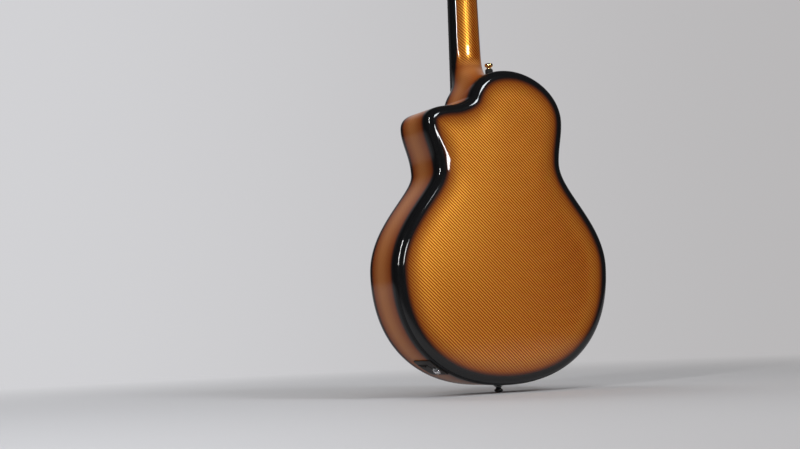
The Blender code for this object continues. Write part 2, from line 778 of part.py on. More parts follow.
def make_bridge(material):
    """Pinless bridge with a saddle slot, and a pocket and bore for each string."""
    low, high = bridge_z_range()
    middle = -(GAP + BRIDGE_THICKNESS / 2)
    outline = rounded_rectangle((-BRIDGE_HALF, low), (BRIDGE_HALF, high), BRIDGE_CORNER)
    bridge = flat_curve("bridge", outline, BRIDGE_THICKNESS / 2, material, front_matrix(middle))
    bridge = curve_to_mesh_object(bridge)
    bevel(bridge, BRIDGE_EDGE)
    top = GAP + BRIDGE_THICKNESS
    half = saddle_half() + GAP
    across = SADDLE_THICKNESS / 2 + GAP
    slot = box_mesh("saddle_slot", (-half, -2 * top, saddle_z() - across),
                    (half, -(top - SADDLE_SLOT_DEPTH), saddle_z() + across))
    boolean(bridge, as_cutter(add_object("saddle_slot", slot, collection=CUTTERS)))
    for index, diameter in enumerate(STRING_DIAMETERS):
        ball, bend, over = ball_points(index)
        pocket = cylinder_between(f"pocket_{index + 1}", ball - Vector((0, 0, BRIDGE_LENGTH)), bend,
                                  BALL_RADIUS + BALL_POCKET_CLEARANCE, SMALL_STEPS)
        aim = (over - bend).normalized()
        bore = cylinder_between(f"bore_{index + 1}", bend - aim * diameter, bend + aim * BRIDGE_LENGTH / 2,
                                max(STRING_DIAMETERS) / 2 + GAP, HOLE_STEPS)
        for mesh in (pocket, bore):
            boolean(bridge, as_cutter(add_object(mesh.name, mesh, collection=CUTTERS)))


def ball_points(index):
    """Start of a string's ball, the bend in front of the ball, and the bend behind the saddle."""
    diameter = STRING_DIAMETERS[index]
    x = string_x(index, saddle_z())
    low, _ = bridge_z_range()
    start = Vector((x, -BALL_HEIGHT, low + BALL_SETBACK))
    bend = start + Vector((0, 0, BALL_LENGTH + 2 * BALL_POCKET_CLEARANCE))
    behind = saddle_z() - SADDLE_THICKNESS / 2
    over = Vector((x, -(string_underside(saddle_z()) + diameter / 2), behind))
    return start, bend, over


def make_saddle(saddle_material, pickup_material):
    """Saddle in its slot, over the pickup strip."""
    floor = GAP + BRIDGE_THICKNESS - SADDLE_SLOT_DEPTH + GAP
    half, across, z = saddle_half(), SADDLE_THICKNESS / 2, saddle_z()
    strip = box_mesh("under_saddle_pickup", (-half, -(floor + PICKUP_THICKNESS), z - across),
                     (half, -floor, z + across))
    add_object("under_saddle_pickup", strip, pickup_material)
    base = floor + PICKUP_THICKNESS + GAP
    top = string_underside(z) - GAP
    points = [(-across, base), (across, base)]
    for step in range(5):
        angle = math.pi * step / 4
        points.append((across * math.cos(angle), top - across * 0.5 * (1.0 - math.sin(angle))))
    frame = Matrix(((0, 0, 1), (0, -1, 0), (1, 0, 0))).to_4x4()
    flat_curve("saddle", points, half, saddle_material, Matrix.Translation((0.0, 0.0, z)) @ frame)


def tuner_places():
    """Number, frame in the headstock's frame and side of each tuner, from the low string to the high."""
    places = []
    for number in range(1, 7):
        side = -1 if number <= 3 else 1
        row = number - 1 if number <= 3 else 6 - number
        place = Matrix.Translation((side * POST_X, 0.0, POST_FIRST + POST_PITCH * row))
        places.append((number, place, side))
    return places


def gear_depth():
    """Depth of the gear's middle under the headstock's face."""
    return HEAD_THICKNESS + GAP + HOUSING_DEPTH / 2


def worm_offset():
    """Distance along the headstock from the post's axis to the worm's axis."""
    return GEAR_RADIUS + WORM_RADIUS + GAP


def housing_mesh(side):
    """Gear housing behind the headstock with its bushing through it, hollow for gear and worm."""
    chamber = GEAR_RADIUS + CHAMBER_CLEARANCE
    worm_room = WORM_RADIUS + CHAMBER_CLEARANCE
    front, back = HEAD_THICKNESS + GAP, HEAD_THICKNESS + GAP + HOUSING_DEPTH
    reach = chamber + HOUSING_WALL
    low = (-reach, front, -reach)
    high = (reach, back, worm_offset() + worm_room + HOUSING_WALL)
    name = "tuner_housing_bass" if side < 0 else "tuner_housing_treble"
    housing = add_object(name, box_mesh(name, low, high), collection=CUTTERS)
    bevel(housing, HOUSING_ROUND, segments=1)
    depth = gear_depth()
    half_gear = GEAR_THICKNESS / 2 + CHAMBER_CLEARANCE
    half_worm = WORM_LENGTH / 2 + CHAMBER_CLEARANCE
    bushing = cylinder_between("bushing", (0, -BUSHING_RISE, 0), (0, front + HOUSING_WALL, 0),
                               BUSHING_RADIUS, TUNER_STEPS)
    cuts = (
        cylinder_between("post_bore", (0, -HEAD_THICKNESS, 0), (0, depth, 0),
                         POST_RADIUS + GAP, TUNER_STEPS),
        cylinder_between("gear_room", (0, depth - half_gear, 0), (0, depth + half_gear, 0),
                         chamber, TUNER_STEPS),
        cylinder_between("worm_room", (-half_worm, depth, worm_offset()), (half_worm, depth, worm_offset()),
                         worm_room, TUNER_STEPS),
        cylinder_between("shaft_bore", (0, depth, worm_offset()), (side * 2 * reach, depth, worm_offset()),
                         KNOB_SHAFT_RADIUS + GAP, TUNER_STEPS),
    )
    others = [add_object(bushing.name, bushing, collection=CUTTERS)]
    boolean(housing, others[0], "UNION")
    for mesh in cuts:
        others.append(add_object(mesh.name, mesh, collection=CUTTERS))
        boolean(housing, others[-1])
    result = baked_mesh(housing, name)
    for obj in others:
        bpy.data.objects.remove(obj, do_unlink=True)
    return result


def post_mesh():
    """String post with its cap, waist, cross hole and gear, turned about Z with the cap at the top."""
    depth = gear_depth()
    cap = POST_HEIGHT - POST_CAP_HEIGHT
    half = GEAR_THICKNESS / 2
    profile = (
        (0.0, POST_HEIGHT), (POST_CAP_RADIUS * 0.8, POST_HEIGHT),
        (POST_CAP_RADIUS, POST_HEIGHT - POST_CAP_HEIGHT / 2), (POST_CAP_RADIUS, cap),
        (POST_WAIST_RADIUS, cap), (POST_WAIST_RADIUS, POST_BASE_HEIGHT),
        (POST_RADIUS, POST_BASE_HEIGHT), (POST_RADIUS, -(depth - half)), (GEAR_RADIUS, -(depth - half)),
        (GEAR_RADIUS, -(depth + half)), (0.0, -(depth + half)),
    )
    post = add_object("tuner_post", turned("tuner_post", profile, TUNER_STEPS), collection=CUTTERS)
    middle = (cap + POST_BASE_HEIGHT) / 2
    wide = 2 * POST_RADIUS
    hole = cylinder_between("post_hole", (-wide, 0, middle), (wide, 0, middle), POST_HOLE_RADIUS, HOLE_STEPS)
    cutter = add_object("post_hole", hole, collection=CUTTERS)
    boolean(post, cutter)
    mesh = baked_mesh(post, "tuner_post")
    bpy.data.objects.remove(cutter, do_unlink=True)
    return mesh


def knob_mesh():
    """Knob on its shaft and worm, turned about Z with the button outermost."""
    housing = GEAR_RADIUS + CHAMBER_CLEARANCE + HOUSING_WALL + GAP
    profile = (
        (0.0, KNOB_REACH + KNOB_LENGTH / 2), (KNOB_SHAFT_RADIUS, KNOB_REACH + KNOB_LENGTH / 2),
        (KNOB_SHAFT_RADIUS, housing + KNOB_COLLAR_LENGTH), (KNOB_COLLAR_RADIUS, housing + KNOB_COLLAR_LENGTH),
        (KNOB_COLLAR_RADIUS, housing), (KNOB_SHAFT_RADIUS, housing), (KNOB_SHAFT_RADIUS, WORM_LENGTH / 2),
        (WORM_RADIUS, WORM_LENGTH / 2), (WORM_RADIUS, -WORM_LENGTH / 2), (0.0, -WORM_LENGTH / 2),
    )
    knob = add_object("tuner_knob", turned("tuner_knob", profile, TUNER_STEPS), collection=CUTTERS)
    bm = bmesh.new()
    bmesh.ops.create_cone(bm, cap_ends=True, segments=KNOB_STEPS, radius1=1.0, radius2=1.0, depth=1.0)
    for vert in bm.verts:
        along = (vert.co.y + 1.0) * KNOB_LENGTH / 2
        vert.co = Vector((vert.co.x * KNOB_HALF_WIDTH, vert.co.z * KNOB_THICKNESS, KNOB_REACH + along))
    bmesh.ops.recalc_face_normals(bm, faces=bm.faces)
    button = add_object("button", mesh_from(bm, "button"), collection=CUTTERS)
    bevel(button, KNOB_EDGE, segments=1)
    boolean(knob, button, "UNION")
    mesh = baked_mesh(knob, "tuner_knob")
    bpy.data.objects.remove(button, do_unlink=True)
    return mesh


def make_empty(name, matrix, parent=None):
    """Empty that carries a frame."""
    empty = bpy.data.objects.new(name, None)
    empty.empty_display_size = 0.01
    PARTS.objects.link(empty)
    if parent is not None:
        empty.parent = parent
    empty.matrix_local = matrix
    return empty


def make_tuners(metal, knob_material):
    """Six geared tuners on the headstock: housing, post and knob, each with its origin on its own axis."""
    head = make_empty("headstock_frame", head_matrix())
    housings = {side: housing_mesh(side) for side in (-1, 1)}
    post, knob = post_mesh(), knob_mesh()
    for mesh, material in ((housings[-1], metal), (housings[1], metal), (post, metal), (knob, knob_material)):
        mesh.materials.clear()
        mesh.materials.append(material)
        smooth(mesh)
    up = Matrix.Rotation(math.radians(90.0), 4, "X")
    for number, place, side in tuner_places():
        frame = make_empty(f"tuner_{number}_frame", place, head)
        out = Matrix.Rotation(math.radians(90.0 * side), 4, "Y")
        worm = Matrix.Translation((0.0, gear_depth(), worm_offset())) @ out
        copies = ((f"tuner_housing_{number}", housings[side], Matrix.Identity(4)),
                  (f"tuner_post_{number}", post, up), (f"tuner_knob_{number}", knob, worm))
        for name, mesh, matrix in copies:
            obj = add_object(name, mesh)
            obj.parent = frame
            obj.matrix_local = matrix


def string_points(index):
    """Route of a string from its ball over saddle and nut to its turns, as (point, radius) pairs."""
    diameter = STRING_DIAMETERS[index]
    radius = diameter / 2
    ball, bend, over = ball_points(index)
    rounding = BALL_RADIUS / 4
    start = ball.z
    route = [(ball, BALL_RADIUS - rounding), (Vector((ball.x, ball.y, start + rounding)), BALL_RADIUS),
             (Vector((ball.x, ball.y, start + BALL_LENGTH - rounding)), BALL_RADIUS),
             (Vector((ball.x, ball.y, start + BALL_LENGTH)), BALL_RADIUS - rounding),
             (Vector((ball.x, ball.y, start + BALL_LENGTH + GAP)), radius),
             (bend, radius), (over, radius)]
    past = nut_z() + NUT_LENGTH + GAP
    leave = Vector((string_x(index, past), -(string_underside(past) + radius), past))
    route.append((leave, radius))
    head = head_matrix()
    _, place, side = tuner_places()[index]
    post = place.translation
    local = head.inverted() @ leave
    wrap = POST_WAIST_RADIUS + GAP + radius
    mirrored = Vector((-side * (local.x - post.x), local.z - post.z))
    bearing = math.atan2(mirrored.y, mirrored.x) + math.acos(wrap / mirrored.length)
    pitch = diameter + TURN_PITCH_CLEARANCE
    steps = round(TURNS * POINTS_PER_TURN)
    for step in range(steps + 1):
        turn = step / POINTS_PER_TURN
        angle = bearing + 2 * math.pi * turn
        x = post.x - side * wrap * math.cos(angle)
        z = post.z + wrap * math.sin(angle)
        route.append((head @ Vector((x, -WRAP_START_HEIGHT + pitch * turn, z)), radius))
    last, angle = route[-1][0], bearing + 2 * math.pi * steps / POINTS_PER_TURN
    travel = Vector((side * wrap * math.sin(angle), pitch / (2 * math.pi), wrap * math.cos(angle)))
    route.append((last + head.to_3x3() @ travel.normalized() * diameter, radius))
    return route


def least_gap_to_itself(route, diameter, spacing=0.0004):
    """Least gap between parts of a tube more than three diameters apart along it."""
    points, lengths, travelled = [], [], 0.0
    for (start, _), (end, _) in zip(route, route[1:]):
        run = (end - start).length
        count = max(1, math.ceil(run / spacing))
        for step in range(count):
            points.append(start.lerp(end, step / count))
            lengths.append(travelled + run * step / count)
        travelled += run
    least = math.inf
    for i, point in enumerate(points):
        for j in range(i + 1, len(points)):
            if lengths[j] - lengths[i] > 3 * diameter:
                least = min(least, (points[j] - point).length)
    return least - diameter


def make_strings(bronze, steel):
    """Six strings, each one tube from its ball to the turns round its post."""
    for index, diameter in enumerate(STRING_DIAMETERS):
        route = string_points(index)
        curve = bpy.data.curves.new(f"string_{index + 1}", "CURVE")
        curve.dimensions = "3D"
        curve.bevel_depth = 1.0
        curve.bevel_resolution = 1
        curve.use_fill_caps = True
        spline = curve.splines.new("POLY")
        spline.points.add(len(route) - 1)
        for target, (point, radius) in zip(spline.points, route):
            target.co = (*point, 1.0)
            target.radius = radius
        curve.materials.append(bronze if index < 4 else steel)
        obj = bpy.data.objects.new(f"string_{index + 1}", curve)
        PARTS.objects.link(obj)
        turns = route[-(round(TURNS * POINTS_PER_TURN) + 2):]
        gap = least_gap_to_itself(turns, diameter)
        print(f"string_{index + 1}: least gap between turns {gap * 1000:.2f} mm")


def washer_mesh(name, inner, outer, thickness):
    """Flat ring from z = 0 up."""
    profile = ((inner, thickness), (outer, thickness), (outer, 0.0), (inner, 0.0))
    return turned(name, profile, steps=SMALL_STEPS * 2, closed=True)


def make_strap_button(gold, felt):
    """Strap button on its washer, on the shoulder beside the heel."""
    place = Matrix.Translation((-SHOULDER_X, BUTTON_DEPTH, BODY_LENGTH + GAP))
    washer = add_object("strap_button_washer",
                        washer_mesh("strap_button_washer", BUTTON_STEM_RADIUS + GAP, BUTTON_WASHER_RADIUS,
                                    BUTTON_WASHER_THICKNESS), felt)
    washer.matrix_world = place
    base, top = BUTTON_WASHER_THICKNESS + GAP, BUTTON_HEIGHT
    rise = top - base
    profile = (
        (0.0, top - 0.12 * rise), (BUTTON_HEAD_RADIUS * 0.4, top),
        (BUTTON_HEAD_RADIUS * 0.8, top), (BUTTON_HEAD_RADIUS, top - 0.16 * rise),
        (BUTTON_HEAD_RADIUS, top - 0.5 * rise), (BUTTON_NECK_RADIUS, top - 0.7 * rise),
        (BUTTON_NECK_RADIUS, base + 0.15 * rise), (BUTTON_BASE_RADIUS, base + 0.08 * rise),
        (BUTTON_BASE_RADIUS, base), (BUTTON_STEM_RADIUS, base), (BUTTON_STEM_RADIUS, -STEM_LENGTH),
        (0.0, -STEM_LENGTH),
    )
    mesh = turned("strap_button", profile)
    smooth(mesh)
    button = add_object("strap_button", mesh, gold)
    button.matrix_world = place


def make_end_pin(black, felt):
    """End pin on its washer, under the tail."""
    down = Matrix.Rotation(math.radians(180.0), 4, "X")
    place = Matrix.Translation((0.0, PIN_DEPTH, -GAP)) @ down
    washer = add_object("end_pin_washer",
                        washer_mesh("end_pin_washer", PIN_STEM_RADIUS + GAP, PIN_WASHER_RADIUS,
                                    PIN_WASHER_THICKNESS), felt)
    washer.matrix_world = place
    base, top = PIN_WASHER_THICKNESS + GAP, PIN_HEIGHT
    profile = (
        (0.0, top), (PIN_HEAD_RADIUS * 0.35, top), (PIN_HEAD_RADIUS, top - 0.28 * PIN_HEIGHT),
        (PIN_HEAD_RADIUS, top - 0.38 * PIN_HEIGHT), (PIN_NECK_RADIUS, top - 0.58 * PIN_HEIGHT),
        (PIN_NECK_RADIUS, base + 0.16 * PIN_HEIGHT), (PIN_FLANGE_RADIUS, base + 0.08 * PIN_HEIGHT),
        (PIN_FLANGE_RADIUS, base), (PIN_STEM_RADIUS, base), (PIN_STEM_RADIUS, -STEM_LENGTH),
        (0.0, -STEM_LENGTH),
    )
    mesh = turned("end_pin", profile)
    smooth(mesh)
    pin = add_object("end_pin", mesh, black)
    pin.matrix_world = place


def drawer_half_sizes():
    """Half height along the rim, half width into the depth, and length of the drawer's tray."""
    half_x = (BATTERY_THICKNESS + GAP + DRAWER_WALL) / 2
    half_y = (BATTERY_WIDTH + 2 * GAP + 2 * DRAWER_WALL) / 2
    length = BATTERY_LENGTH + 2 * GAP + DRAWER_WALL + DRAWER_FRONT - DRAWER_PROUD - PANEL_THICKNESS
    return half_x, half_y, length


def sleeve_half_sizes():
    """Half height, half width and length of the sleeve round the drawer."""
    half_x, half_y, length = drawer_half_sizes()
    wall = GAP + SLEEVE_WALL
    return half_x + wall, half_y + wall, length + wall


def make_output_panel(material):
    """Plate that follows the flank, with the sleeve for the drawer behind it and a hole for the jack."""
    plate = box_mesh("output_panel", (-PANEL_LENGTH / 2, -PANEL_WIDTH / 2, -PANEL_LENGTH / 2),
                     (PANEL_LENGTH / 2, PANEL_WIDTH / 2, PANEL_LENGTH / 2))
    panel = add_object("output_panel", plate, material)
    bm = bmesh.new()
    bm.from_mesh(plate)
    upright = [edge for edge in bm.edges if abs((edge.verts[0].co - edge.verts[1].co).normalized().z) > 0.9]
    bmesh.ops.bevel(bm, geom=upright, offset=PANEL_CORNER, segments=3, affect="EDGES", profile=0.5)
    bm.to_mesh(plate)
    bm.free()
    plate.transform(rim_matrix(PANEL_STATION, PANEL_DEPTH))
    drawer = rim_matrix(DRAWER_STATION, DRAWER_DEPTH)
    half_x, half_y, length = sleeve_half_sizes()
    room_x, room_y = half_x - SLEEVE_WALL, half_y - SLEEVE_WALL
    high = GAP + PANEL_THICKNESS * 0.5
    sleeve = box_mesh("sleeve", (-half_x, -half_y, -length), (half_x, half_y, high))
    room = box_mesh("drawer_room", (-room_x, -room_y, -length + SLEEVE_WALL),
                    (room_x, room_y, 2 * PANEL_THICKNESS + high))
    window = CONTACT_WINDOW / 2
    contact = box_mesh("contact_window", (-window, -window, -length - SLEEVE_WALL),
                       (window, window, -length / 2))
    for mesh in (sleeve, room, contact):
        mesh.transform(drawer)
    jack = cylinder_between("jack_hole", (0, 0, -PANEL_LENGTH / 2), (0, 0, PANEL_LENGTH / 2),
                            JACK_BARREL_RADIUS + GAP)
    jack.transform(rim_matrix(JACK_STATION, JACK_DEPTH))
    outer = outline_prism("panel_outer", GAP + PANEL_THICKNESS, -PANEL_WIDTH, BODY_DEPTH + PANEL_WIDTH)
    inner = outline_prism("panel_inner", GAP, -2 * PANEL_WIDTH, BODY_DEPTH + 2 * PANEL_WIDTH)
    steps = ((outer, "INTERSECT"), (inner, "DIFFERENCE"), (sleeve, "UNION"), (room, "DIFFERENCE"),
             (contact, "DIFFERENCE"), (jack, "DIFFERENCE"))
    for mesh, operation in steps:
        boolean(panel, as_cutter(add_object(mesh.name, mesh, collection=CUTTERS)), operation)


def make_drawer(plastic, case):
    """Battery drawer with a finger lip, open along one side, and the battery in it."""
    frame = make_empty("drawer_frame", rim_matrix(DRAWER_STATION, DRAWER_DEPTH))
    half_x, half_y, length = drawer_half_sizes()
    front = GAP + PANEL_THICKNESS + DRAWER_PROUD
    tray = box_mesh("battery_drawer", (-half_x, -half_y, -length), (half_x, half_y, front))
    drawer = add_object("battery_drawer", tray, plastic)
    behind = front - DRAWER_FRONT
    low = (-half_x + DRAWER_WALL, -half_y + DRAWER_WALL, behind - BATTERY_LENGTH - 2 * GAP)
    room = box_mesh("battery_room", low, (2 * half_x, half_y - DRAWER_WALL, behind))
    lip = box_mesh("drawer_lip", (-half_x * 0.8, -half_y * 0.5, front - DRAWER_LIP),
                   (-half_x * 0.8 + DRAWER_LIP, half_y * 0.5, front + DRAWER_LIP))
    cutter = as_cutter(add_object("battery_room", room, collection=CUTTERS))
    ridge = as_cutter(add_object("drawer_lip", lip, collection=CUTTERS))
    boolean(drawer, cutter)
    boolean(drawer, ridge, "UNION")
    low_x = -half_x + DRAWER_WALL + GAP
    mesh = box_mesh("battery", (low_x, -BATTERY_WIDTH / 2, behind - GAP - BATTERY_LENGTH),
                    (low_x + BATTERY_THICKNESS - GAP, BATTERY_WIDTH / 2, behind - GAP))
    battery = add_object("battery", mesh, case)
    bevel(battery, BATTERY_EDGE)
    for obj in (cutter, ridge, drawer, battery):
        obj.parent = frame


def make_output_jack(material):
    """Output jack with its nut: a blind bore for the plug, open at the outer tip."""
    seat = 2 * GAP + PANEL_THICKNESS
    tip = seat + JACK_NUT_HEIGHT + JACK_TIP_HEIGHT
    floor = tip - JACK_BORE_DEPTH
    profile = (
        (JACK_BORE_RADIUS, tip), (JACK_TIP_RADIUS, tip), (JACK_TIP_RADIUS, seat + JACK_NUT_HEIGHT),
        (JACK_NUT_RADIUS, seat + JACK_NUT_HEIGHT), (JACK_NUT_RADIUS, seat), (JACK_BARREL_RADIUS, seat),
        (JACK_BARREL_RADIUS, floor - JACK_END_WALL), (0.0, floor - JACK_END_WALL),
    )
    inside = ((0.0, floor), (JACK_BORE_RADIUS, floor))
    mesh = turned("output_jack", inside + profile)
    smooth(mesh)
    jack = add_object("output_jack", mesh, material)
    jack.matrix_world = rim_matrix(JACK_STATION, JACK_DEPTH)


def build_guitar():
    """Model every piece of the guitar."""
    clear_scene()
    finish = make_materials()
    make_body_shell(finish["gold_weave"])
    make_soundboard(finish["gold_weave"])
    make_neck(finish["gold_weave"])
    make_fretboard(finish["fretboard_black"])
    make_frets(finish["nickel"])
    make_nut(finish["bone"])
    make_bridge(finish["fretboard_black"])
    make_saddle(finish["bone"], finish["pickup_strip"])
    make_tuners(finish["gold"], finish["black_gloss"])
    make_strings(finish["bronze_wire"], finish["steel_wire"])
    make_strap_button(finish["gold"], finish["black_felt"])
    make_end_pin(finish["black_gloss"], finish["black_felt"])
    make_output_panel(finish["black_plastic"])
    make_drawer(finish["black_plastic"], finish["battery_case"])
    make_output_jack(finish["chrome"])


build_guitar()
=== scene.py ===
"""Looks of a steel-string guitar with a moulded fibre shell, one cutaway and an output plate in its flank.

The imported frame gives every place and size: +Z runs up the neck, the soundboard faces -Y and +X is the
treble side. Pieces whose curves matter are made again in finer steps, and the rest get a better finish.
Lengths are metres.
"""

import logging
import math
from collections.abc import Callable, Iterable, Sequence
from dataclasses import dataclass, field
from enum import Enum

import bpy
import numpy as np
from mathutils import Matrix, Vector


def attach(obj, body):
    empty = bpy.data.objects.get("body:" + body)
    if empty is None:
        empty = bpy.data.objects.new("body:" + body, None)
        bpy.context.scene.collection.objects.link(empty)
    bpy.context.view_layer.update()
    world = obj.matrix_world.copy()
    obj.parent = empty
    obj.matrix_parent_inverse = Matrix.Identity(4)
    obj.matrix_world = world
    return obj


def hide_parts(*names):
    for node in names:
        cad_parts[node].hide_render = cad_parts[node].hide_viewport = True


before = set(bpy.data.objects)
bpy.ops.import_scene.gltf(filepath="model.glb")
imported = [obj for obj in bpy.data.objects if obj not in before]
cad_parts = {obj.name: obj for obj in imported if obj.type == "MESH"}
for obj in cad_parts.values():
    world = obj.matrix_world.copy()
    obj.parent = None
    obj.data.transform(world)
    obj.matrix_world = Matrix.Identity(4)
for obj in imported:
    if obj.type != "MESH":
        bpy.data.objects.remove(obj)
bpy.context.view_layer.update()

LOG = logging.getLogger("guitar")
ROOT_BODY = "instrument"
GAP = 0.0003
RING_WELD = 2e-7
SKIN_WELD = 2e-6
BEVEL_ANGLE = 40.0
MARK_LIMIT = 6.0
Colour = tuple[float, float, float]
Value = float | tuple[float, ...] | bpy.types.NodeSocket
Sockets = dict[str, bpy.types.NodeSocket]


class Slot(Enum):
    """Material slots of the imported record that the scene's own pieces take."""

    WEAVE = "gold_weave"
    BLACK_GLOSS = "black_gloss"
    BONE = "bone"
    GOLD = "gold"
    CHROME = "chrome"
    BRONZE_WIRE = "bronze_wire"
    STEEL_WIRE = "steel_wire"
    PLASTIC = "black_plastic"
    FELT = "black_felt"


class Side(Enum):
    """Side of the headstock that a tuner stands on."""

    BASS = -1
    TREBLE = 1


# ---------------------------------------------------------------- sums


def unit(vector: np.ndarray) -> np.ndarray:
    """Vector of length 1 in the same direction."""
    return vector / np.linalg.norm(vector)


def heading(degrees: float) -> np.ndarray:
    """Flat vector of length 1 at an angle."""
    return np.array([math.cos(math.radians(degrees)), math.sin(math.radians(degrees))])


def eased(value: float) -> float:
    """Smooth step from 0 at 0 to 1 at 1."""
    value = min(1.0, max(0.0, value))
    return value * value * (3.0 - 2.0 * value)


def cubic(handles: Sequence[np.ndarray], t: float) -> np.ndarray:
    """Point of a Bezier curve at a share from 0 to 1."""
    u = 1.0 - t
    return sum(w * h for w, h in zip((u ** 3, 3 * u * u * t, 3 * u * t * t, t ** 3), handles))


def travelled(points: np.ndarray) -> np.ndarray:
    """Way from the first point of a line to each of its points."""
    return np.concatenate([[0.0], np.cumsum(np.linalg.norm(np.diff(points, axis=0), axis=1))])


def rolled(radius: float, angles: Iterable[float]) -> list[tuple[float, float]]:
    """Inset and drop of a rolled edge at each angle round it."""
    return [(radius * (1.0 - math.cos(angle)), radius * (1.0 - math.sin(angle))) for angle in angles]


def closed(values: np.ndarray) -> np.ndarray:
    """Grid with its first column added again at the end."""
    return np.concatenate([values, values[:, :1]], axis=1)


def at_corners(values: np.ndarray) -> np.ndarray:
    """Values at the four corners of each face of a grid."""
    return np.stack([values[:-1, :-1], values[:-1, 1:], values[1:, 1:], values[1:, :-1]], axis=2)


# ---------------------------------------------------------------- modelling by operators


def lay_down() -> None:
    """Leave edit mode and deselect everything."""
    if bpy.context.mode != "OBJECT":
        bpy.ops.object.mode_set(mode="OBJECT")
    bpy.ops.object.select_all(action="DESELECT")


def take(obj: bpy.types.Object, *others: bpy.types.Object) -> None:
    """Select some objects, the first one active.

    Args:
        obj: The object that becomes active.
        others: Objects selected with it.
    """
    lay_down()
    for each in (obj, *others):
        each.select_set(True)
    bpy.context.view_layer.objects.active = obj


def start_edit(obj: bpy.types.Object, mode: str) -> None:
    """Open an object in edit mode with nothing selected.

    Args:
        obj: The object to edit.
        mode: VERT or EDGE.
    """
    take(obj)
    bpy.ops.object.mode_set(mode="EDIT")
    bpy.ops.mesh.select_mode(type=mode)
    bpy.ops.mesh.select_all(action="DESELECT")


def pick_edges(obj: bpy.types.Object, test: Callable[[Vector, Vector], bool]) -> None:
    """Select the edges whose two ends pass a test, from edit mode.

    Args:
        obj: The object in edit mode.
        test: Called with an edge's two ends.
    """
    bpy.ops.object.mode_set(mode="OBJECT")
    places = [vert.co for vert in obj.data.vertices]
    for item in (*obj.data.vertices, *obj.data.polygons):
        item.select = False
    for edge in obj.data.edges:
        edge.select = bool(test(*(places[index] for index in edge.vertices)))
    bpy.ops.object.mode_set(mode="EDIT")


def welded(obj: bpy.types.Object, distance: float) -> bpy.types.Object:
    """Weld near points, turn the faces outward and leave edit mode.

    Args:
        obj: The object in edit mode.
        distance: How near two points are to become one.

    Returns:
        The object.
    """
    bpy.ops.mesh.select_all(action="SELECT")
    bpy.ops.mesh.remove_doubles(threshold=distance)
    bpy.ops.mesh.normals_make_consistent(inside=False)
    bpy.ops.object.mode_set(mode="OBJECT")
    return obj


def named(name: str) -> bpy.types.Object:
    """Name the active object and its mesh.

    Args:
        name: The new name.

    Returns:
        The object.
    """
    obj = bpy.context.object
    obj.name = name
    obj.data.name = name
    return obj


def apply_all(obj: bpy.types.Object) -> bpy.types.Object:
    """Apply every modifier of an object.

    Args:
        obj: The object.

    Returns:
        The object, without modifiers.
    """
    take(obj)
    for modifier in list(obj.modifiers):
        bpy.ops.object.modifier_apply(modifier=modifier.name)
    return obj


def settle(obj: bpy.types.Object, matrix: Matrix | None = None) -> bpy.types.Object:
    """Move an object by a matrix and put its whole place into its mesh.

    Args:
        obj: The object.
        matrix: Where it goes, or None to keep its place.

    Returns:
        The same object, at the origin.
    """
    bpy.context.view_layer.update()
    if matrix is not None:
        obj.matrix_world = matrix @ obj.matrix_world
        bpy.context.view_layer.update()
    take(obj)
    bpy.ops.object.transform_apply(location=True, rotation=True, scale=True)
    return obj


def joined(name: str, pieces: Sequence[bpy.types.Object]) -> bpy.types.Object:
    """Join objects into one with a new name.

    Args:
        name: The new name.
        pieces: The objects to join.

    Returns:
        The joined object.
    """
    take(*pieces)
    bpy.ops.object.join()
    return named(name)


def smooth(obj: bpy.types.Object, angle: float = 35.0) -> bpy.types.Object:
    """Smooth shading with sharp edges past an angle in degrees.

    Args:
        obj: The object to shade.
        angle: The least angle of an edge that stays sharp.

    Returns:
        The object.
    """
    take(obj)
    bpy.ops.object.shade_smooth_by_angle(angle=math.radians(angle))
    return obj


def bevelled(obj: bpy.types.Object, width: float, segments: int) -> bpy.types.Object:
    """Round the edges where faces meet at a clear angle.

    Args:
        obj: The object.
        width: The rounding's width.
        segments: How many faces it has across.

    Returns:
        The object.
    """
    modifier = obj.modifiers.new("rounding", "BEVEL")
    modifier.width = width
    modifier.segments = segments
    modifier.limit_method = "ANGLE"
    modifier.angle_limit = math.radians(BEVEL_ANGLE)
    modifier.harden_normals = False
    return apply_all(obj)


def cut(obj: bpy.types.Object, tool: bpy.types.Object, operation: str = "DIFFERENCE") -> bpy.types.Object:
    """Cut an object with a tool, or add the tool to it, and remove the tool.

    Args:
        obj: The object that is kept.
        tool: The object that is used up.
        operation: DIFFERENCE or UNION.

    Returns:
        The object that is kept.
    """
    modifier = obj.modifiers.new("cut", "BOOLEAN")
    modifier.operation = operation
    modifier.object = tool
    modifier.solver = "EXACT"
    apply_all(obj)
    bpy.data.objects.remove(tool, do_unlink=True)
    return obj


def block(name: str, low: Sequence[float], high: Sequence[float]) -> bpy.types.Object:
    """Box between two corners, its place in its mesh.

    Args:
        name: The box's name.
        low: Its lowest corner.
        high: Its highest corner.

    Returns:
        The box.
    """
    lay_down()
    low, high = Vector(low), Vector(high)
    bpy.ops.mesh.primitive_cube_add(size=1.0, location=(low + high) / 2)
    obj = named(name)
    obj.scale = high - low
    return settle(obj)


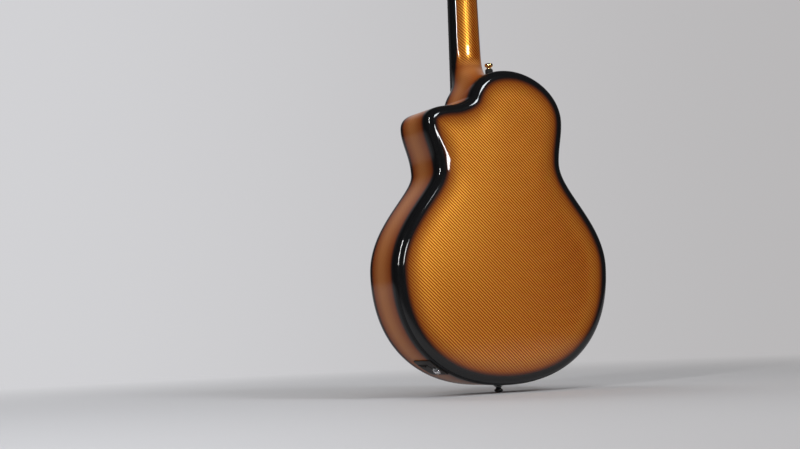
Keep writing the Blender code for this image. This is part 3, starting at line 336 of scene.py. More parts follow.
def turned(name: str, profile: Sequence[tuple[float, float]], steps: int = 48) -> bpy.types.Object:
    """Round piece about Z, drawn up from a ring by extruding and resizing it.

    Args:
        name: The piece's name.
        profile: Radius and height of each ring in order. A radius of zero closes that end, and a profile
            that ends where it started makes a washer.
        steps: Points in each ring.

    Returns:
        The closed piece.
    """
    rings = [(radius, height) for radius, height in profile if radius > 0.0]
    lay_down()
    bpy.ops.mesh.primitive_circle_add(vertices=steps, radius=rings[0][0], location=(0.0, 0.0, rings[0][1]))
    obj = settle(named(name))
    start_edit(obj, "EDGE")
    bpy.ops.mesh.select_all(action="SELECT")
    for (near, low), (far, high) in zip(rings, rings[1:]):
        bpy.ops.mesh.extrude_edges_move(TRANSFORM_OT_translate={"value": (0.0, 0.0, high - low)})
        bpy.ops.transform.resize(value=(far / near, far / near, 1.0))
    for (closing, _), (radius, height) in ((profile[0], rings[0]), (profile[-1], rings[-1])):
        if closing > 0.0:
            continue

        def on_ring(place: Vector) -> bool:
            """Whether a point is on the ring that is closed."""
            return abs(place.z - height) < RING_WELD and abs(place.xy.length - radius) < RING_WELD

        pick_edges(obj, lambda first, second: on_ring(first) and on_ring(second))
        bpy.ops.mesh.edge_face_add()
    return welded(obj, RING_WELD)


def rod(name: str, start: Sequence[float], end: Sequence[float], radius: float,
        steps: int = 32) -> bpy.types.Object:
    """Closed cylinder from one point to another, its place in its mesh.

    Args:
        name: The cylinder's name.
        start: The middle of one end.
        end: The middle of the other end.
        radius: Its radius.
        steps: How many sides it has.

    Returns:
        The cylinder.
    """
    start, end = Vector(start), Vector(end)
    lay_down()
    bpy.ops.mesh.primitive_cylinder_add(vertices=steps, radius=radius, depth=(end - start).length)
    turn = (end - start).to_track_quat("Z", "Y").to_matrix().to_4x4()
    return settle(named(name), Matrix.Translation((start + end) / 2) @ turn)


def copied(obj: bpy.types.Object, name: str, matrix: Matrix) -> bpy.types.Object:
    """Copy of a piece with its own mesh, moved by a matrix.

    Args:
        obj: The piece to copy.
        name: The copy's name.
        matrix: Where the copy goes.

    Returns:
        The copy.
    """
    take(obj)
    bpy.ops.object.duplicate(linked=False)
    return settle(named(name), matrix)


def skin(name: str, rows: np.ndarray, uv: np.ndarray, uv_late: np.ndarray | None = None, late_from: int = 0,
         marks: dict[str, np.ndarray] | None = None) -> bpy.types.Object:
    """Surface drawn over rows of points, from a grid whose last column meets its first.

    Args:
        name: The piece's name.
        rows: Points as (row, column, 3).
        uv: Pattern place in metres of each point, as (row, column + 1, 2).
        uv_late: Pattern place for the faces from one row on, if it changes there.
        late_from: The first face row that reads uv_late.
        marks: Named values of each point, as (row, column).

    Returns:
        The welded surface.
    """
    count, around = rows.shape[:2]
    lay_down()
    bpy.ops.mesh.primitive_grid_add(x_subdivisions=around, y_subdivisions=count - 1, size=1.0, calc_uvs=True)
    obj = named(name)
    mesh = obj.data
    mesh.vertices.foreach_set("co", closed(rows).astype(np.float32).ravel())
    layers = at_corners(uv)
    if uv_late is not None:
        layers[late_from:] = at_corners(uv_late)[late_from:]
    mesh.uv_layers[0].data.foreach_set("uv", layers.astype(np.float32).ravel())
    for mark, values in (marks or {}).items():
        attribute = mesh.attributes.new(mark, "FLOAT", "POINT")
        attribute.data.foreach_set("value", closed(values).astype(np.float32).ravel())
    mesh.update()
    start_edit(obj, "VERT")
    return welded(obj, SKIN_WELD)


def walled(obj: bpy.types.Object, thickness: float) -> bpy.types.Object:
    """Give a surface a wall on its inner side, whose faces take the second material.

    Args:
        obj: The surface.
        thickness: The wall's thickness.

    Returns:
        The object.
    """
    for _ in range(2):
        obj.data.materials.append(None)
    modifier = obj.modifiers.new("wall", "SOLIDIFY")
    modifier.thickness = thickness
    modifier.offset = -1.0
    modifier.use_even_offset = True
    modifier.material_offset = 1
    modifier.material_offset_rim = 0
    return apply_all(obj)


def dressed(obj: bpy.types.Object, *materials: bpy.types.Material) -> bpy.types.Object:
    """Put materials into an object's slots in order.

    Args:
        obj: The piece.
        materials: One material for each slot.

    Returns:
        The piece.
    """
    faces = obj.data.polygons
    index = np.zeros(len(faces), dtype=np.int32)
    faces.foreach_get("material_index", index)
    obj.data.materials.clear()
    for material in materials:
        obj.data.materials.append(material)
    faces.foreach_set("material_index", np.minimum(index, len(materials) - 1))
    return obj


def placed(obj: bpy.types.Object, body: str = ROOT_BODY,
           stands_for: Iterable[str] = ()) -> bpy.types.Object:
    """Make a finished piece ride on a body, and say which nodes it stands for.

    Args:
        obj: The finished piece.
        body: The body that carries it.
        stands_for: CAD nodes that it replaces.

    Returns:
        The same piece.
    """
    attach(obj, body)
    nodes = tuple(stands_for)
    if nodes:
        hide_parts(*nodes)
    LOG.info("%s on %s, %d faces", obj.name, body, len(obj.data.polygons))
    return obj


# ---------------------------------------------------------------- finishes


class Graph:
    """Short calls for the nodes of one tree."""

    def __init__(self, tree: bpy.types.NodeTree) -> None:
        """Keep the tree."""
        self.tree = tree

    def feed(self, node: bpy.types.Node, values: dict[str | int, Value]) -> None:
        """Link or set a node's inputs.

        Args:
            node: The node.
            values: A socket or a plain value for each input, by its name or its number.
        """
        for key, value in values.items():
            socket = node.inputs[key]
            if isinstance(value, bpy.types.NodeSocket):
                self.tree.links.new(value, socket)
            elif socket.type == "RGBA":
                socket.default_value = (*value, 1.0)
            else:
                socket.default_value = value

    def add(self, kind: str, inputs: dict[str | int, Value] | None = None,
            **settings: object) -> bpy.types.Node:
        """Add a node.

        Args:
            kind: The node's type.
            inputs: What its inputs are linked or set to.
            settings: Its properties, which are set before its inputs.

        Returns:
            The node.
        """
        node = self.tree.nodes.new(kind)
        for name, value in settings.items():
            setattr(node, name, value)
        self.feed(node, inputs or {})
        return node

    def math(self, operation: str, *values: Value, clamp: bool = False) -> bpy.types.NodeSocket:
        """Result of a Math node."""
        node = self.add("ShaderNodeMath", dict(enumerate(values)), operation=operation, use_clamp=clamp)
        return node.outputs[0]

    def product(self, first: Value, *others: Value) -> Value:
        """Product of numbers or sockets.

        Args:
            first: The first factor.
            others: The other factors.

        Returns:
            Their product.
        """
        for other in others:
            first = self.math("MULTIPLY", first, other)
        return first

    def vector(self, operation: str, *values: Value) -> bpy.types.NodeSocket:
        """Result of a Vector Math node, which is a number for a dot product or a length."""
        node = self.add("ShaderNodeVectorMath", dict(enumerate(values)), operation=operation)
        return node.outputs["Value" if operation in ("DOT_PRODUCT", "LENGTH") else "Vector"]

    def step(self, value: Value, low: float, high: float) -> bpy.types.NodeSocket:
        """Smooth step of a value from 0 at low to 1 at high."""
        limits = {"Value": value, "From Min": low, "From Max": high}
        return self.add("ShaderNodeMapRange", limits, interpolation_type="SMOOTHSTEP", clamp=True).outputs[0]

    def mix(self, share: Value, first: Value, second: Value) -> bpy.types.NodeSocket:
        """Colour between two colours."""
        return self.add("ShaderNodeMix", {0: share, 6: first, 7: second}, data_type="RGBA").outputs[2]

    def between(self, share: Value, first: Value, second: Value) -> bpy.types.NodeSocket:
        """Number between two numbers."""
        return self.add("ShaderNodeMix", {0: share, 2: first, 3: second}, data_type="FLOAT").outputs[0]

    def noise(self, place: Value, scale: Value, detail: float = 3.0,
              roughness: float = 0.5) -> bpy.types.NodeSocket:
        """Noise value over a vector."""
        inputs = {"Vector": place, "Scale": scale, "Detail": detail, "Roughness": roughness}
        return self.add("ShaderNodeTexNoise", inputs).outputs[0]

    def stretched(self, place: Value, scale: tuple[float, float, float]) -> bpy.types.NodeSocket:
        """Vector scaled by a Mapping node."""
        return self.add("ShaderNodeMapping", {"Vector": place, "Scale": scale}).outputs[0]

    def parts(self, vector: Value) -> tuple[bpy.types.NodeSocket, ...]:
        """The three parts of a vector."""
        return tuple(self.add("ShaderNodeSeparateXYZ", {0: vector}).outputs)

    def group(self, tree: bpy.types.NodeTree, **inputs: Value) -> Sockets:
        """Outputs of a node group by name, with its inputs linked or set."""
        return {socket.name: socket for socket in self.add("ShaderNodeGroup", inputs, node_tree=tree).outputs}

    def bump(self, height: Value, strength: float, distance: float) -> bpy.types.NodeSocket:
        """Normal from a height."""
        inputs = {"Height": height, "Strength": strength, "Distance": distance}
        return self.add("ShaderNodeBump", inputs).outputs[0]

    def solid(self) -> bpy.types.NodeSocket:
        """Place in the piece's own coordinates."""
        return self.add("ShaderNodeTexCoord").outputs["Object"]

    def mark(self, name: str) -> bpy.types.NodeSocket:
        """Value that the piece's points carry under a name."""
        return self.add("ShaderNodeAttribute", attribute_name=name).outputs["Fac"]

    def pattern(self) -> bpy.types.NodeSocket:
        """Place in the piece's pattern, in metres."""
        return self.add("ShaderNodeUVMap").outputs[0]


def node_group(name: str, vectors: Sequence[str], numbers: Sequence[str],
               build: Callable[[Graph, Sockets], Sockets]) -> bpy.types.NodeTree:
    """Make a shader node group.

    Args:
        name: The group's name.
        vectors: Names of its vector inputs.
        numbers: Names of its number inputs.
        build: Adds the nodes between the inputs and the outputs, both by name.

    Returns:
        The group.
    """
    tree = bpy.data.node_groups.new(name, "ShaderNodeTree")
    for kind, titles in (("NodeSocketVector", vectors), ("NodeSocketFloat", numbers)):
        for title in titles:
            tree.interface.new_socket(name=title, in_out="INPUT", socket_type=kind)
    graph = Graph(tree)
    enter = graph.add("NodeGroupInput").outputs
    outputs = build(graph, {socket.name: socket for socket in enter if socket.name})
    for title in outputs:
        tree.interface.new_socket(name=title, in_out="OUTPUT", socket_type="NodeSocketFloat")
    graph.add("NodeGroupOutput", outputs)
    return tree


@dataclass
class Effects:
    """Shader node groups that more than one finish uses."""

    twill: bpy.types.NodeTree = field(init=False)
    burst: bpy.types.NodeTree = field(init=False)
    handling: bpy.types.NodeTree = field(init=False)
    drawn: bpy.types.NodeTree = field(init=False)
    speckle: bpy.types.NodeTree = field(init=False)

    def __post_init__(self) -> None:
        """Build the groups."""
        place, gloss = ("Place",), ("Roughness", "Amount")
        self.twill = node_group("twill weave", place, ("Tow", "Turn"), self._twill)
        self.burst = node_group("sprayed edge", place, ("Distance", "Unevenness"), self._burst)
        self.handling = node_group("handling marks", place, gloss, self._handling)
        self.drawn = node_group("drawn lines", (*place, "Stretch"), gloss, self._drawn)
        self.speckle = node_group("moulded grain", place, ("Scale",), self._speckle)

    @staticmethod
    def _twill(g: Graph, enter: Sockets) -> Sockets:
        """Two-over-two twill of flat tows, as which tow is on top, its crown and its fibres.

        Args:
            g: The group's graph.
            enter: The group's inputs.

        Returns:
            The group's outputs by name.
        """
        place = g.add("ShaderNodeVectorRotate", {"Vector": enter["Place"], "Angle": enter["Turn"]},
                      rotation_type="Z_AXIS").outputs[0]
        across, along, _ = g.parts(place)
        u, v = g.math("DIVIDE", across, enter["Tow"]), g.math("DIVIDE", along, enter["Tow"])
        cells = g.math("ADD", g.math("FLOOR", u), g.math("FLOOR", v))
        warp = g.math("LESS_THAN", g.math("FLOORED_MODULO", cells, 4.0), 1.5)
        crowns = []
        for part in (u, v):
            centred = g.math("MULTIPLY_ADD", g.math("FRACT", part), 2.0, -1.0)
            crowns.append(g.math("SUBTRACT", 1.0, g.math("POWER", g.math("ABSOLUTE", centred), 2.5)))
        fibres = [g.noise(g.stretched(place, scale), 1.0, 2.0)
                  for scale in ((3600.0, 140.0, 400.0), (140.0, 3600.0, 400.0))]
        return {"Warp": warp, "Crown": g.between(warp, crowns[1], crowns[0]),
                "Fibres": g.between(warp, fibres[1], fibres[0])}

    @staticmethod
    def _burst(g: Graph, enter: Sockets) -> Sockets:
        """Sprayed edge: solid black up to a distance of 1, then a soft ember band that ends near 4.

        Args:
            g: The group's graph.
            enter: The group's inputs.

        Returns:
            The group's outputs by name.
        """
        drift = g.math("SUBTRACT", g.noise(enter["Place"], 9.0, 2.0), 0.5)
        mist = g.math("SUBTRACT", g.noise(enter["Place"], 900.0, 1.0), 0.5)
        moved = g.math("ADD", enter["Distance"], g.product(drift, enter["Unevenness"]))
        moved = g.math("MULTIPLY_ADD", mist, 0.10, moved)
        return {"Clear": g.step(moved, 0.95, 1.75), "Ember": g.step(moved, 0.9, 3.9)}

    @staticmethod
    def _handling(g: Graph, enter: Sockets) -> Sockets:
        """Faint smears and dust that vary a gloss, as a roughness.

        Args:
            g: The group's graph.
            enter: The group's inputs.

        Returns:
            The group's outputs by name.
        """
        smear = g.step(g.noise(g.stretched(enter["Place"], (1.0, 1.0, 0.4)), 14.0, 4.0, 0.6), 0.45, 0.75)
        fine = g.noise(enter["Place"], 260.0, 2.0)
        varied = g.math("MULTIPLY_ADD", smear, enter["Amount"], enter["Roughness"])
        return {"Roughness": g.math("MULTIPLY_ADD", fine, g.product(enter["Amount"], 0.5), varied)}

    @staticmethod
    def _drawn(g: Graph, enter: Sockets) -> Sockets:
        """Fine lines left by drawing, turning or polishing, as a roughness and a height.

        Args:
            g: The group's graph.
            enter: The group's inputs.

        Returns:
            The group's outputs by name.
        """
        lines = g.noise(g.vector("MULTIPLY", enter["Place"], enter["Stretch"]), 1.0, 4.0, 0.6)
        roughness = g.math("MULTIPLY_ADD", lines, enter["Amount"], enter["Roughness"])
        return {"Roughness": roughness, "Height": lines}

    @staticmethod
    def _speckle(g: Graph, enter: Sockets) -> Sockets:
        """Fine grain of a moulded or pressed surface, as a mottle and a height.

        Args:
            g: The group's graph.
            enter: The group's inputs.

        Returns:
            The group's outputs by name.
        """
        fine = g.noise(enter["Place"], enter["Scale"], 3.0, 0.6)
        broad = g.noise(enter["Place"], g.product(enter["Scale"], 0.08), 3.0)
        return {"Mottle": g.math("MULTIPLY_ADD", fine, 0.4, g.product(broad, 0.6)), "Height": fine}


def blank(name: str) -> tuple[bpy.types.Material, Graph, bpy.types.Node]:
    """New material with its graph and its Principled node.

    Args:
        name: The material's name.

    Returns:
        The material, its graph and its Principled node.
    """
    material = bpy.data.materials.new(name)
    material.use_nodes = True
    graph = Graph(material.node_tree)
    return material, graph, material.node_tree.nodes["Principled BSDF"]


@dataclass(frozen=True)
class WeaveFinish:
    """Twill cloth under clear lacquer, with its edges sprayed black and painted shade between its tows."""

    name: str
    bright: Colour = (1.0, 0.48, 0.058)
    dark: Colour = (0.33, 0.034, 0.0005)
    # Painted shade: the colour the edges of the tows run to, standing in for the shade between them.
    groove_shade: Colour = (0.03, 0.006, 0.001)
    flat: Colour = (0.34, 0.118, 0.034)
    ember: Colour = (0.17, 0.030, 0.003)
    black: Colour = (0.0055, 0.0055, 0.006)
    metal: float = 0.93
    tow: float = 0.00134
    turn: float = -89.0
    unevenness: float = 0.12
    roughness: float = 0.30
    smear: float = 0.04
    relief: float = 0.35
    depth: float = 0.0002
    coat: float = 1.0

    def material(self, effects: Effects) -> bpy.types.Material:
        """Build the material, which reads the piece's own pattern places and its marks.

        Args:
            effects: The patterns that the finishes share.

        Returns:
            The material.
        """
        material, g, surface = blank(self.name)
        solid, strength = g.solid(), g.mark("weave")
        twill = g.group(effects.twill, Place=g.pattern(), Tow=self.tow, Turn=math.radians(self.turn))
        burst = g.group(effects.burst, Distance=g.mark("burst"), Place=solid, Unevenness=self.unevenness)
        smears = g.group(effects.handling, Place=solid, Roughness=self.roughness, Amount=self.smear)
        # Painted shade: the tows darken to the groove shade where their crowns fall away; the fibre streaks
        # mixed in are the cloth's own.
        shade = g.product(g.math("MULTIPLY_ADD", twill["Crown"], 0.5, 0.5),
                          g.math("MULTIPLY_ADD", twill["Fibres"], 0.5, 0.75))
        tows = g.mix(shade, self.groove_shade, g.mix(twill["Warp"], self.dark, self.bright))
        warm = g.mix(burst["Ember"], self.ember, g.mix(strength, self.flat, tows))
        relief = g.product(twill["Crown"], strength, burst["Clear"])
        g.feed(surface, {
            "Base Color": g.mix(burst["Clear"], self.black, warm),
            "Metallic": g.product(twill["Warp"], strength, burst["Ember"], self.metal),
            "Roughness": smears["Roughness"],
            "Normal": g.bump(relief, self.relief, self.depth),
            "Specular IOR Level": 0.02,
            "Coat Weight": g.math("MULTIPLY_ADD", strength, 0.7 * self.coat, 0.3 * self.coat),
            "Coat Roughness": 0.045,
            "Coat IOR": 1.52,
        })
        return material


@dataclass(frozen=True)
class MetalFinish:
    """Metal with fine lines from drawing, turning or polishing."""

    name: str
    colour: Colour
    tarnish: Colour
    roughness: float
    amount: float
    stretch: tuple[float, float, float]

    def material(self, effects: Effects) -> bpy.types.Material:
        """Build the material on Object coordinates.

        Args:
            effects: The patterns that the finishes share.

        Returns:
            The material.
        """
        material, g, surface = blank(self.name)
        solid = g.solid()
        lines = g.group(effects.drawn, Place=solid, Stretch=self.stretch, Roughness=self.roughness,
                        Amount=self.amount)
        grime = g.product(g.step(g.noise(solid, 180.0), 0.45, 0.8), 0.35)
        g.feed(surface, {
            "Base Color": g.mix(grime, self.colour, self.tarnish),
            "Metallic": 1.0,
            "Roughness": lines["Roughness"],
            "Normal": g.bump(lines["Height"], 0.05, 0.0001),
        })
        return material


@dataclass(frozen=True)
class WoundFinish:
    """Wire wound round a core, drawn along the piece's own length, with painted shade between its turns."""

    name: str
    colour: Colour
    # Painted shade in the hollows between the turns of the winding.
    groove_shade: Colour
    wrap: float = 0.00032

    def material(self, effects: Effects) -> bpy.types.Material:
        """Build the material; the pattern's first number runs along the string and the second round it.

        Args:
            effects: The patterns that the finishes share.

        Returns:
            The material.
        """
        material, g, surface = blank(self.name)
        length, turn, _ = g.parts(g.pattern())
        thread = g.math("ADD", g.math("DIVIDE", length, self.wrap), turn)
        # The crest is the winding's rise and fall; its hollows take the painted groove shade.
        crest = g.math("MULTIPLY_ADD", g.math("SINE", g.product(thread, math.tau)), 0.5, 0.5)
        smears = g.group(effects.handling, Place=g.solid(), Roughness=0.24, Amount=0.10)
        g.feed(surface, {
            "Base Color": g.mix(crest, self.groove_shade, self.colour),
            "Metallic": 1.0,
            "Roughness": smears["Roughness"],
            "Normal": g.bump(crest, 0.5, 0.0001),
        })
        return material


@dataclass(frozen=True)
class CastFinish:
    """Moulded, pressed or carved stuff without a weave: board, plastic, bone, felt or a painted case."""

    name: str
    colour: Colour
    mottle: Colour
    roughness: float
    grain: float = 900.0
    relief: float = 0.1
    depth: float = 0.0001
    coat: float = 0.0
    gloss: float = 0.5
    sheen: float = 0.0
    stretch: tuple[float, float, float] = (1.0, 1.0, 1.0)

    def material(self, effects: Effects) -> bpy.types.Material:
        """Build the material on Object coordinates.

        Args:
            effects: The patterns that the finishes share.

        Returns:
            The material.
        """
        material, g, surface = blank(self.name)
        solid = g.solid()
        grain = g.group(effects.speckle, Place=g.stretched(solid, self.stretch), Scale=self.grain)
        smears = g.group(effects.handling, Place=solid, Roughness=self.roughness, Amount=0.08)
        g.feed(surface, {
            "Base Color": g.mix(g.step(grain["Mottle"], 0.35, 0.65), self.colour, self.mottle),
            "Roughness": smears["Roughness"],
            "Normal": g.bump(grain["Height"], self.relief, self.depth),
            "Specular IOR Level": self.gloss,
            "Coat Weight": self.coat,
            "Coat Roughness": 0.04,
            "Sheen Weight": self.sheen,
        })
        return material


FINISHES = (
    WeaveFinish("lacquered twill"),
    WeaveFinish("inside of the shell", bright=(0.06, 0.055, 0.05), dark=(0.012, 0.012, 0.012),
                flat=(0.03, 0.028, 0.026), ember=(0.02, 0.018, 0.016), metal=0.0, coat=0.0),
    CastFinish("black lacquer", (0.0055, 0.0055, 0.006), (0.009, 0.009, 0.010), roughness=0.12, relief=0.01,
               coat=1.0),
    CastFinish("black board", (0.010, 0.010, 0.011), (0.020, 0.019, 0.019), roughness=0.36, grain=1500.0,
               relief=0.12, stretch=(1.0, 1.0, 0.06)),
    CastFinish("bone", (0.76, 0.71, 0.58), (0.66, 0.58, 0.43), roughness=0.34, grain=700.0, relief=0.05,
               stretch=(0.15, 1.0, 1.0)),
    CastFinish("pearl", (0.80, 0.80, 0.76), (0.52, 0.60, 0.58), roughness=0.16, grain=300.0, relief=0.02,
               coat=0.5),
    MetalFinish("polished nickel", (0.74, 0.72, 0.68), (0.52, 0.49, 0.44), 0.14, 0.14, (60.0, 900.0, 3000.0)),
    MetalFinish("gold plate", (0.86, 0.60, 0.24), (0.66, 0.42, 0.15), 0.13, 0.12, (500.0, 500.0, 2500.0)),
    MetalFinish("chrome plate", (0.82, 0.82, 0.84), (0.64, 0.64, 0.66), 0.05, 0.08, (900.0, 900.0, 900.0)),
    MetalFinish("plain steel wire", (0.72, 0.72, 0.73), (0.50, 0.49, 0.48), 0.18, 0.15,
                (3000.0, 3000.0, 60.0)),
    WoundFinish("bronze winding", (0.80, 0.50, 0.27), (0.25, 0.13, 0.06)),
    CastFinish("dark moulding", (0.014, 0.012, 0.011), (0.022, 0.018, 0.016), roughness=0.42, relief=0.03,
               gloss=0.15),
    CastFinish("pressed felt", (0.010, 0.010, 0.010), (0.030, 0.030, 0.030), roughness=0.95, grain=2600.0,
               relief=0.8, depth=0.0003, gloss=0.1, sheen=0.05),
    CastFinish("pickup foil", (0.56, 0.34, 0.18), (0.40, 0.24, 0.13), roughness=0.45, relief=0.1),
    CastFinish("battery wrap", (0.06, 0.065, 0.07), (0.10, 0.105, 0.11), roughness=0.32, relief=0.05,
               coat=0.3),
)


# ---------------------------------------------------------------- body


@dataclass
class Outline:
    """Outline of the body in the plane of x and z, from the tail round the bass side.

    Each node has its place, its heading in degrees, and how far its handles reach back and out.
    """

    nodes: tuple[tuple[tuple[float, float], float, float, float], ...] = (
        ((0.0, 0.0), 180.0, 0.1070, 0.1070), ((-0.1893, 0.1778), 90.0, 0.1187, 0.0735),
        ((-0.1106, 0.3431), 90.0, 0.0430, 0.0234), ((-0.1188, 0.4103), 90.0, 0.0227, 0.0465),
        ((-0.0225, 0.4900), 0.0, 0.0454, 0.0344), ((0.0455, 0.4470), -70.1, 0.0305, 0.0055),
        ((0.0806, 0.4323), -5.0, 0.0173, 0.0237), ((0.1264, 0.4044), -90.0, 0.0212, 0.0234),
        ((0.1112, 0.3317), -90.0, 0.0296, 0.0283), ((0.1893, 0.1778), -90.0, 0.0735, 0.1187),
    )
    steps: tuple[int, ...] = (46, 38, 20, 38, 34, 18, 28, 22, 38, 46)
    top_spans: tuple[int, int] = (3, 7)
    points: np.ndarray = field(init=False)
    normals: np.ndarray = field(init=False)
    travel: np.ndarray = field(init=False)

    def __post_init__(self) -> None:
        """Sample the outline."""
        samples = [self.at(span, step / count) for span, count in enumerate(self.steps)
                   for step in range(count)]
        self.points = np.array([point for point, _ in samples])
        self.normals = np.array([normal for _, normal in samples])
        self.travel = travelled(np.concatenate([self.points, self.points[:1]]))

    def at(self, span: int, share: float) -> tuple[np.ndarray, np.ndarray]:
        """Point and outward normal at a share of one span.

        Args:
            span: Index of the node that the span starts at.
            share: From 0 to 1 along it.

        Returns:
            The point and the normal, each as (x, z).
        """
        start, angle, _, out = self.nodes[span]
        end, end_angle, back, _ = self.nodes[(span + 1) % len(self.nodes)]
        handles = [np.array(start), np.array(start) + out * heading(angle),
                   np.array(end) - back * heading(end_angle), np.array(end)]
        u, t = 1.0 - share, share
        legs = [b - a for a, b in zip(handles, handles[1:])]
        along = unit(sum(w * leg for w, leg in zip((u * u, 2 * u * t, t * t), legs)))
        return cubic(handles, share), np.array([-along[1], along[0]])

    def ring(self, inset: float, depth: float) -> np.ndarray:
        """Closed ring of the outline moved inward, at one depth."""
        flat = self.points - self.normals * inset
        return np.stack([flat[:, 0], np.full(len(flat), depth), flat[:, 1]], axis=1)

    def distance(self, points: np.ndarray) -> np.ndarray:
        """Distance in the plane from points to the outline.

        Args:
            points: Points as (row, column, 3).

        Returns:
            Distances as (row, column).
        """
        flat = points.reshape(-1, 3)[:, [0, 2]]
        starts, ends = self.points, np.roll(self.points, -1, axis=0)
        legs = ends - starts
        square = (legs ** 2).sum(1)
        best = np.full(len(flat), np.inf)
        for start, leg, size in zip(starts, legs, square):
            share = np.clip(((flat - start) @ leg) / size, 0.0, 1.0)
            best = np.minimum(best, ((flat - start - share[:, None] * leg) ** 2).sum(1))
        return np.sqrt(best).reshape(points.shape[:2])

    def top_at(self, x: float, inset: float) -> float:
        """Height of the shoulder and cutaway at a sideways place, moved inward.

        Args:
            x: The sideways place.
            inset: How far the outline is moved inward.

        Returns:
            The height.
        """
        flat = self.points - self.normals * inset
        first, last = (sum(self.steps[:span]) for span in self.top_spans)
        return float(np.interp(x, flat[first:last, 0], flat[first:last, 1]))

    def rim_frame(self, share: float, depth: float) -> Matrix:
        """Frame on the treble rim: X towards the tail, Y into the body's depth, Z out of the flank.

        Args:
            share: The place on the outline's last span, from 0 to 1.
            depth: The place's depth in the body.

        Returns:
            The frame.
        """
        point, normal = self.at(len(self.nodes) - 1, share)
        out = Vector((normal[0], 0.0, normal[1]))
        inward = Vector((0.0, 1.0, 0.0))
        turn = Matrix((inward.cross(out), inward, out)).transposed().to_4x4()
        return Matrix.Translation(Vector((point[0], depth, point[1]))) @ turn


@dataclass
class Body:
    """Moulded back and sides with the soundboard, both over the same outline."""

    outline: Outline
    depth: float = 0.099
    arch: float = 0.006
    wall: float = 0.0025
    front_radius: float = 0.008
    front_steps: int = 8
    land: float = 0.002
    back_radius: float = 0.013
    back_sweep: float = 86.0
    back_steps: int = 12
    arch_centre: float = 0.190
    evening: float = 0.40
    hole_radius: float = 0.048
    hole_height: float = 0.342456
    hole_border: float = 0.010
    hole_black: float = 0.0035
    black_back: float = 0.0125
    black_side: float = 0.0150
    black_front: float = 0.0110
    side_weave: float = 0.05
    crease: float = 50.0
    side_depths: tuple[float, ...] = (0.012, 0.014, 0.017, 0.020, 0.024, 0.030, 0.040, 0.050, 0.060, 0.068,
                                      0.074, 0.080)
    arch_shares: tuple[float, ...] = (0.985, 0.97, 0.955, 0.94, 0.92, 0.90, 0.88, 0.86, 0.83, 0.79, 0.74,
                                      0.68, 0.6, 0.5, 0.4, 0.3, 0.2, 0.1, 0.03, 0.0)
    board_shares: tuple[float, ...] = (0.03, 0.06, 0.09, 0.12, 0.16, 0.20, 0.25, 0.31, 0.38, 0.46, 0.55, 0.65,
                                       0.75, 0.85, 0.93, 1.0)
    hole_margins: tuple[float, ...] = (0.007, 0.0055, 0.0045, 0.0035, 0.002, 0.0)
    flat_from_end: int = 7
    board_side_rows: int = 5

    def edge_inset(self, depth: float) -> float:
        """How far the rolled edges draw the outline in at a depth.

        Args:
            depth: The depth from the front's plane.

        Returns:
            The inset, 0 between the rolled edges.
        """
        for radius, past in ((self.front_radius, self.front_radius - depth),
                             (self.back_radius, depth - self.depth + self.back_radius)):
            if past > 0.0:
                return radius * (1.0 - math.sqrt(max(0.0, 1.0 - (past / radius) ** 2)))
        return 0.0

    def edge_mark(self, points: np.ndarray) -> np.ndarray:
        """Distance from the sprayed edges, where 1 is the end of the black.

        Args:
            points: Points as (row, column, 3).

        Returns:
            The marks as (row, column).
        """
        depth = points[..., 1]
        back = np.maximum(self.outline.distance(points) / self.black_back,
                          (self.depth - depth) / self.black_side)
        return np.clip(np.minimum(back, depth / self.black_front), 0.0, MARK_LIMIT)

    def moulded(self, name: str, rows: np.ndarray, side_rows: int, burst: np.ndarray,
                weave: np.ndarray) -> bpy.types.Object:
        """Skin rows and give them a wall; the pattern runs round the sides and straight over the flat faces.

        Args:
            name: The piece's name.
            rows: Points as (row, column, 3).
            side_rows: How many rows of faces belong to the sides.
            burst: Mark of the sprayed edge at each point.
            weave: How clearly the weave shows at each point.

        Returns:
            The piece.
        """
        wide = closed(rows)
        round_rim = np.stack([np.broadcast_to(self.outline.travel, wide.shape[:2]), wide[..., 1]], axis=2)
        surface = skin(name, rows, round_rim, wide[..., [0, 2]], side_rows, {"burst": burst, "weave": weave})
        return smooth(walled(surface, self.wall), self.crease)

    def rounded(self, spokes: np.ndarray) -> np.ndarray:
        """Spokes in the same directions whose lengths change smoothly from one to the next.

        Args:
            spokes: Vectors from the arch's centre to the rim, as (column, 2).

        Returns:
            The evened vectors.
        """
        bearing = np.arctan2(spokes[:, 1], spokes[:, 0])
        apart = (bearing[:, None] - bearing[None] + math.pi) % math.tau - math.pi
        width = np.abs(np.angle(np.exp(1j * (np.roll(bearing, -1) - np.roll(bearing, 1)))))
        weight = np.exp(-0.5 * (apart / self.evening) ** 2) * width
        lengths = np.linalg.norm(spokes, axis=1)
        even = weight @ lengths / weight.sum(axis=1)
        return spokes * (even / lengths)[:, None]

    def shell(self) -> bpy.types.Object:
        """Back and sides in one piece, still without openings.

        Returns:
            The shell.
        """
        rows = [self.outline.ring(0.0, y) for y in (self.front_radius + self.land + GAP, *self.side_depths)]
        angles = [math.radians(self.back_sweep) * step / self.back_steps
                  for step in range(self.back_steps + 1)]
        rows += [self.outline.ring(inset, self.depth - drop)
                 for inset, drop in rolled(self.back_radius, angles)]
        side_rows = len(rows) - self.flat_from_end
        rim = rows[-1]
        low = rim[0, 1]
        spokes = rim[:, [0, 2]] - (0.0, self.arch_centre)
        rounded = self.rounded(spokes)
        for share in self.arch_shares:
            flat = (rounded + (spokes - rounded) * share ** 4) * share
            height = low + (self.depth + self.arch - low) * (1.0 - share ** 2)
            level = np.full(len(rim), height)
            rows.append(np.stack([flat[:, 0], level, self.arch_centre + flat[:, 1]], axis=1))
        rows = np.array(rows)
        weave = np.ones(rows.shape[:2])
        weave[:side_rows] = self.side_weave
        return self.moulded("shell", rows, side_rows, self.edge_mark(rows), weave)

